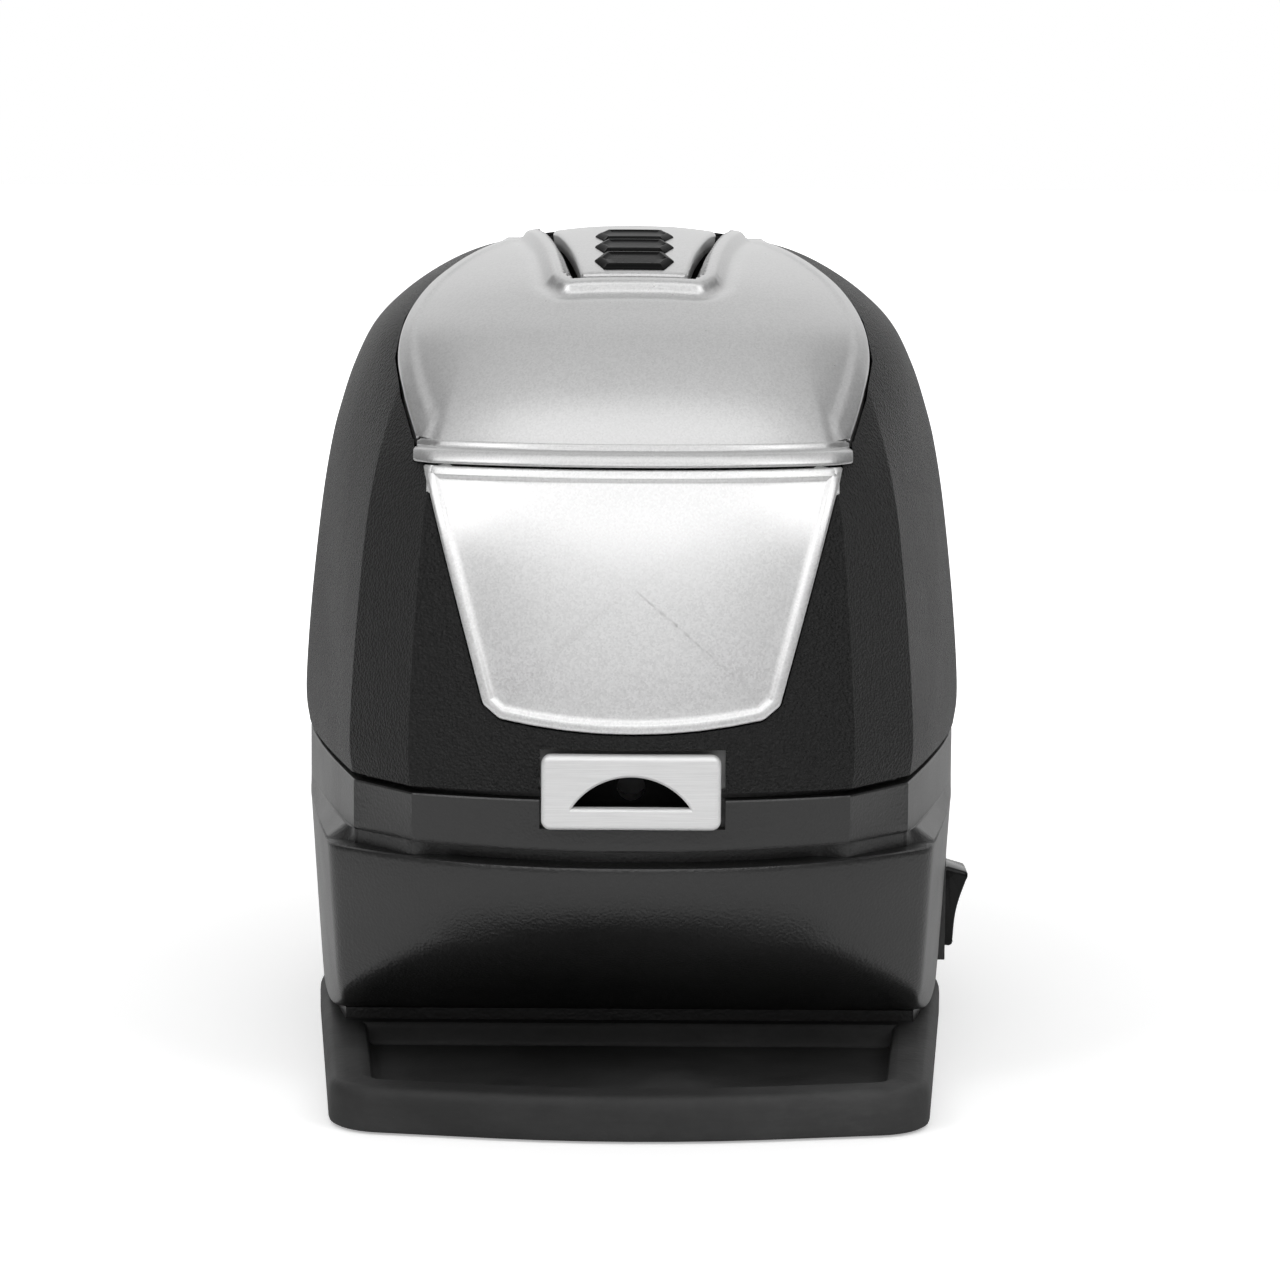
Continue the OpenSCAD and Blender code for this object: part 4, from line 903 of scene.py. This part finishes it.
def lower_housing():
    top = ((0.0, 3.8), (-1.5, 3.6), (-1.5, 0.6), (-1.62, 0.22), (-1.95, 0.0))
    rows = [whole_ring(*band_half(SPLIT_Z + dz, d), SPLIT_Z + dz) for dz, d in top]
    rows += [whole_ring(*band_half(z), z) for z in np.linspace(SPLIT_Z - 2.5, GROOVE_TOP + 1.0, 8)]

    # the groove runs between the inner creases, and a ledge goes on to the belly's corners
    bx, by = band_half(GROOVE_TOP)
    lx, ly = belly_half(LOWER_HALF, BODY_FRONT)
    run = np.concatenate([[0], np.cumsum(np.hypot(np.diff(bx), np.diff(by)))])
    side = soft_step(run - run[FRONT_COLUMNS - 1], 0.0, LEDGE_RUN)
    low = 1 - side
    belly_line = np.interp(bx, lx[:FRONT_COLUMNS], ly[:FRONT_COLUMNS])
    in_front = np.arange(len(bx)) < FRONT_COLUMNS + 20
    edge = np.maximum(by, np.where(in_front, belly_line, -999)) + 0.7
    floor = edge + GROOVE_D * (1 - soft_step(np.abs(bx), 38.0, 10.0))

    def between(share, y_front, z):
        """A row with its own front, and on the sides a share of the way from band to belly."""
        x = side * (bx + (lx - bx) * share) + low * (bx - 0.1)
        y = side * (by + (ly - by) * share) + low * y_front
        return whole_ring(x, y, z)

    rows += [between(0.0, by + 0.1, GROOVE_TOP + 0.45), between(0.0, by + 0.35, GROOVE_TOP + 0.1),
             between(0.05, edge, GROOVE_TOP), between(0.1, floor, GROOVE_TOP - 0.05),
             between(0.9, floor, BELLY_TOP + 0.05)]
    for down, d in ((0, 1.4), (0.05, 0.75), (0.3, 0.25), (0.8, 0.04)):
        rows.append(whole_ring(lx, ly + d * low, BELLY_TOP - down))
    for z in np.concatenate([[BELLY_TOP - 1.5], np.linspace(BELLY_TOP - 2.4, FOOT_Z, 80)]):
        t = (BELLY_TOP - z) / (BELLY_TOP - FOOT_Z)
        x, y = belly_half(LOWER_HALF + (FOOT_HALF - LOWER_HALF) * t, BODY_FRONT)
        # the underside of the belly cuts the front off, with a soft edge
        drop = min(1.0, max(0.0, (BELLY_TOP + 2.6 - z) / (BELLY_TOP + 2.6 - FOOT_Z)))
        limit = -FOOT_FRONT - 80.0 * (1 - drop**1.3) ** (1 / 1.3)
        bend = 190.0 * float(soft_step(BELLY_TOP - z, 0.0, 18.0))
        soft = (y + limit + np.sqrt((y - limit) ** 2 + bend)) / 2
        rows.append(whole_ring(x, y + (soft - y) * (1 - soft_step(y - limit, 30.0, 60.0)), z))
    shell = grid_object("lower_housing_shell", rows, angle=24)
    cut(shell, lower_cutters())
    shade(shell, 24)
    return dress(shell, SMOOTH_BLACK, "housing", "black_smooth_plastic", "lower_housing")


def lower_cutters():
    seat, inlet_z = 71.0, 36
    return [
        plate_cutter("cut_plate", -101.0),
        box_object("cut_mouth", (-14, -116, PLATE_Z - 4.6), (14, -84.0, PLATE_Z + 4.6)),
        box_object("cut_rocker", (seat - 16.2, -7.5, ROCKER_Z - 11.3), (seat + 12, 7.5, ROCKER_Z + 11.3)),
        box_object("cut_rocker_seat", (seat, -8.8, ROCKER_Z - 12.6), (seat + 12, 8.8, ROCKER_Z + 12.6)),
        box_object("cut_inlet", (-13.8, 85.5, inlet_z - 10.1), (13.8, 120, inlet_z + 10.1)),
        box_object("cut_inlet_seat", (-17.3, BODY_REAR - 1.2, inlet_z - 13.3), (17.3, 120, inlet_z + 13.3)),
    ]


# ---- Nozzle, rocker and base ----
MOON_W, MOON_H = 24.8, 6.6
PLATE_FRONT = -BODY_FRONT - 1.8


def half_moon(grow):
    """Flat sill below, arc above; x and z."""
    radius = (MOON_W**2 / 4 + MOON_H**2) / (2 * MOON_H)
    sill = PLATE_Z - MOON_H / 2
    half = math.asin(MOON_W / 2 / radius)
    a = np.linspace(-half, half, 61)
    z = sill + MOON_H - radius + (radius + grow) * np.cos(a)
    arc = np.stack([(radius + grow) * np.sin(a), z], axis=1)
    corner = [(arc[-1][0], sill - grow), (arc[0][0], sill - grow)]
    return np.vstack([arc, corner])


def nozzle_plate():
    half_w, low, high = 37.4 / 2, PLATE_Z - 15.7 / 2, PLATE_Z + 15.7 / 2
    corners = [(-half_w, low), (half_w, low), (half_w, high), (-half_w, high)]
    outline = round_polygon(corners, 2.0, spacing=1.0)

    def surface(points, height):
        return np.stack([points[:, 0], PLATE_FRONT - height, points[:, 1]], axis=1)

    insets = [(0.0, -1.0), (0.05, -0.75), (0.25, -0.4), (0.6, -0.12), (1.0, 0.0), (1.6, 0.0)]
    plate = patch("nozzle_plate_bezel", outline, insets, surface, 4, 2.9, angle=40)
    mouth = ((-1, 1.05), (0, 0.55), (0.35, 0.12), (0.7, 0.0), (5, 0.0))
    rows = [[(x, PLATE_FRONT + y, z) for x, z in half_moon(grow)] for y, grow in mouth]
    cut(plate, [grid_object("cut_moon", rows, smooth=False)])
    shade(plate, 38)
    return dress(plate, STEEL, "housing", "brushed_steel", "nozzle_plate")


def rocker():
    """Rocking switch button with a hollowed face, tilted at rest."""
    half, face, pivot = 9.3, 5.0, 71.6
    z = np.linspace(-half + 2.0, half - 2.0, 21)
    hollow = np.stack([face - 0.9 * np.cos(z / half * math.pi / 2) ** 1.5, z], axis=1)
    low = [(-4, -half + 1.5), (0, -half), (face - 0.7, -half + 0.33), (face - 0.15, -half + 0.75),
           (face, -half + 1.5)]
    high = [(x, -z) for x, z in low[::-1]]
    profile = np.array(low + [tuple(p) for p in hollow] + high)
    centre = np.array([face / 2 - 1.5, 0])
    cosine, sine = math.cos(math.radians(12)), math.sin(math.radians(12))
    rows = []
    for y, shrink in ((-6, 0.90), (-5.9, 0.95), (-5.6, 0.985), (-5.1, 1),
                      (5.1, 1), (5.6, 0.985), (5.9, 0.95), (6, 0.90)):
        rows.append([(pivot + x * cosine + z * sine, y, ROCKER_Z - x * sine + z * cosine)
                     for x, z in centre + (profile - centre) * shrink])
    obj = grid_object("rocker_button", rows, angle=35)
    return dress(obj, GLOSS_BLACK, "rocker_body", "black_gloss_plastic", "rocker")


def convex_hull(points):
    pts = sorted(set((round(float(x), 5), round(float(y), 5)) for x, y in points))

    def half(seq):
        out = []
        for p in seq:
            while len(out) > 1 and ((out[-1][0] - out[-2][0]) * (p[1] - out[-2][1])
                                    - (out[-1][1] - out[-2][1]) * (p[0] - out[-2][0])) <= 0:
                out.pop()
            out.append(p)
        return out[:-1]

    return np.array(half(pts) + half(pts[::-1]))


def base_outline(inset):
    """Plan of the rubber tray: a bowed front, widest at the middle, narrower at the rear."""
    r = 13.0 - inset
    spots = []
    for s in (-1, 1):
        spots += [(s * 55, 95), (s * 59.3, 0), (s * 50.5, -100.5)]
    spots += [(k / 6 * 50.5, -107 + 8 * (k / 6) ** 2) for k in range(-6, 7)]
    a = np.linspace(0, 2 * math.pi, 96, endpoint=False)
    hull = convex_hull([(x + r * math.cos(k), y + r * math.sin(k)) for x, y in spots for k in a])
    return even_points(np.vstack([hull, hull[:1]]), 400, endpoint=False)


def recess_outline(inset, back):
    """The part of the tray's plan in front of a line, as even points."""
    ring = base_outline(inset)
    first = next(k for k in range(len(ring)) if ring[k][1] < back <= ring[k - 1][1])
    ring = [p for p in np.roll(ring, -first, axis=0) if p[1] < back]
    return even_points([(ring[0][0], back)] + ring + [(ring[-1][0], back)], 260)


def base_tray():
    edge = ((2.2, 0.4), (0.9, 0.45), (0.3, 0.8), (0.05, 1.5), (0.0, 2.5), (0.0, 6.6), (0.12, 7.9),
            (0.5, 9.0), (1.1, 9.7), (2.0, 10.0), (4.0, 10.0), (7.0, 10.0))
    rows = [[(x, y, z) for x, y in base_outline(inset)] for inset, z in edge]
    tray = grid_object("base_tray_rubber", rows, angle=40)
    bowl = ((2.2, 10.6), (1.2, 10.0), (0.45, 9.6), (0.1, 8.9), (0.0, 8.2), (-0.2, 6.2), (-0.6, 5.5),
            (-1.5, 5.05), (-2.6, 5.0))
    rows = [[(x, y, z) for x, y in recess_outline(9.5 - grow, -51.0 + grow * 0.4)] for grow, z in bowl]
    cut(tray, [grid_object("cut_recess", rows, smooth=False)])
    shade(tray, 32)
    return dress(tray, RUBBER, "housing", "rubber", "base_tray")


# ---- Stage, lights and camera ----
def stage():
    size = 6.0
    mesh = bpy.data.meshes.new("floor")
    corners = [(-size, -size, 0), (size, -size, 0), (size, size, 0), (-size, size, 0)]
    mesh.from_pydata(corners, [], [(0, 1, 2, 3)])
    floor = bpy.data.objects.new("floor", mesh)
    bpy.context.scene.collection.objects.link(floor)
    m = Material("pale_floor")
    away = m.add("ShaderNodeVectorMath", operation="LENGTH")
    m.link(m.coords, away.inputs[0])
    place = m.add("ShaderNodeSeparateXYZ")
    m.link(m.coords, place.inputs[0])
    # painted shade: beyond the table, in front and at the sides, the floor's colour goes dark for a darker
    # studio, and only reflections see it
    beyond = m.smooth_range(away.outputs["Value"], 0.45, 1.1, 0.0, 1.0)
    ahead = m.smooth_range(place.outputs["Y"], 0.0, 0.5, 0.80, 0.0)
    both = m.maths("MULTIPLY", beyond, ahead)
    m.set(Base_Color=m.mix(both, (0.93, 0.93, 0.93, 1), (0.05, 0.05, 0.05, 1)), Roughness=0.9,
          Specular_IOR_Level=0.1)
    # painted light: for camera rays the floor glows, more with distance from the object, so it whitens away
    # from the object and keeps the shadow beside the base
    painted_glow = m.smooth_range(away.outputs["Value"], 0.10, 0.60, 0.40, 1.0)
    seen = m.add("ShaderNodeLightPath").outputs["Is Camera Ray"]
    glow = m.add("ShaderNodeEmission")
    m.link(m.maths("MULTIPLY", seen, painted_glow), glow.inputs["Strength"])
    total = m.add("ShaderNodeAddShader")
    m.feed(total, {0: m.bsdf.outputs[0], 1: glow.outputs[0]})
    m.link(total.outputs[0], m.first("OUTPUT_MATERIAL").inputs["Surface"])
    mesh.materials.append(m.mat)


def world():
    w = bpy.data.worlds.new("studio")
    bpy.context.scene.world = w
    w.use_nodes = True
    t = Tree(w.node_tree)
    path = t.add("ShaderNodeLightPath")
    seen = t.maths("MAXIMUM", path.outputs["Is Camera Ray"], path.outputs["Is Transmission Ray"])
    # the white backdrop stands behind the object; overhead and in front are dim, the sides dark
    split = t.add("ShaderNodeSeparateXYZ")
    t.link(t.add("ShaderNodeTexCoord").outputs["Generated"], split.inputs[0])
    ranges = (("Y", 0.42, 0.88, 0.88), ("Y", -0.45, -0.95, 0.20), ("Z", 0.40, 0.95, 0.58))
    behind, ahead, above = (t.smooth_range(split.outputs[axis], near, far, SIDE_GLOW, reach)
                            for axis, near, far, reach in ranges)
    room = t.maths("ADD", t.maths("ADD", behind, ahead), above)
    strength = t.add("ShaderNodeMix", data_type="FLOAT")
    t.feed(strength, {0: seen, 2: room, 3: 1.0})
    t.feed(t.first("BACKGROUND"), {"Strength": strength.outputs[0], "Color": (1, 1, 1, 1)})


def area_light(name, place, target, size, power):
    data = bpy.data.lights.new(name, "AREA")
    data.shape = "RECTANGLE"
    data.size, data.size_y = size
    data.energy = power
    obj = bpy.data.objects.new(name, data)
    bpy.context.scene.collection.objects.link(obj)
    obj.location = place
    obj.rotation_mode = "QUATERNION"
    obj.rotation_quaternion = (Vector(target) - Vector(place)).to_track_quat("-Z", "Y")


def lights():
    middle = (0, 0, 0.10)
    area_light("overhead", (0, -0.56, 1.15), middle, (2.2, 0.35), 2.6)
    area_light("left", (-0.85, -0.95, 1.0), middle, (0.4, 0.7), 2.8)
    area_light("right", (0.85, -0.95, 1.0), middle, (0.4, 0.7), 2.4)
    area_light("front", (0, -1.55, 0.92), middle, (1.4, 0.9), 5.4)


CAMERA_PLACE = (0.0, -1.0, 0.225)
CAMERA_DOWN = 7.74
FOCAL_PX = 4365.0
FRAME_PX = 1280.0
SENSOR = 36.0
CENTRE_SHIFT_PX = 8.0
ROLL = 0.35
SIDE_GLOW = 0.025            # strength of the room at the sides


def camera():
    data = bpy.data.cameras.new("camera")
    data.sensor_width = SENSOR
    data.lens = FOCAL_PX / FRAME_PX * SENSOR
    data.shift_x = CENTRE_SHIFT_PX / FRAME_PX
    obj = bpy.data.objects.new("camera", data)
    bpy.context.scene.collection.objects.link(obj)
    obj.location = CAMERA_PLACE
    tilt = Matrix.Rotation(math.radians(90 - CAMERA_DOWN), 4, "X")
    roll = Matrix.Rotation(math.radians(ROLL), 4, "Z")
    obj.rotation_mode = "QUATERNION"
    obj.rotation_quaternion = (tilt @ roll).to_quaternion()
    bpy.context.scene.camera = obj
    bpy.context.scene.view_settings.view_transform = "Standard"


camera()
stage()
world()
lights()
paint_nodes()
upper_housing()
front_panel()
lid()
hinge_horns()
lid_lip()
push_button()
button_grips()
lower_housing()
nozzle_plate()
rocker()
base_tray()
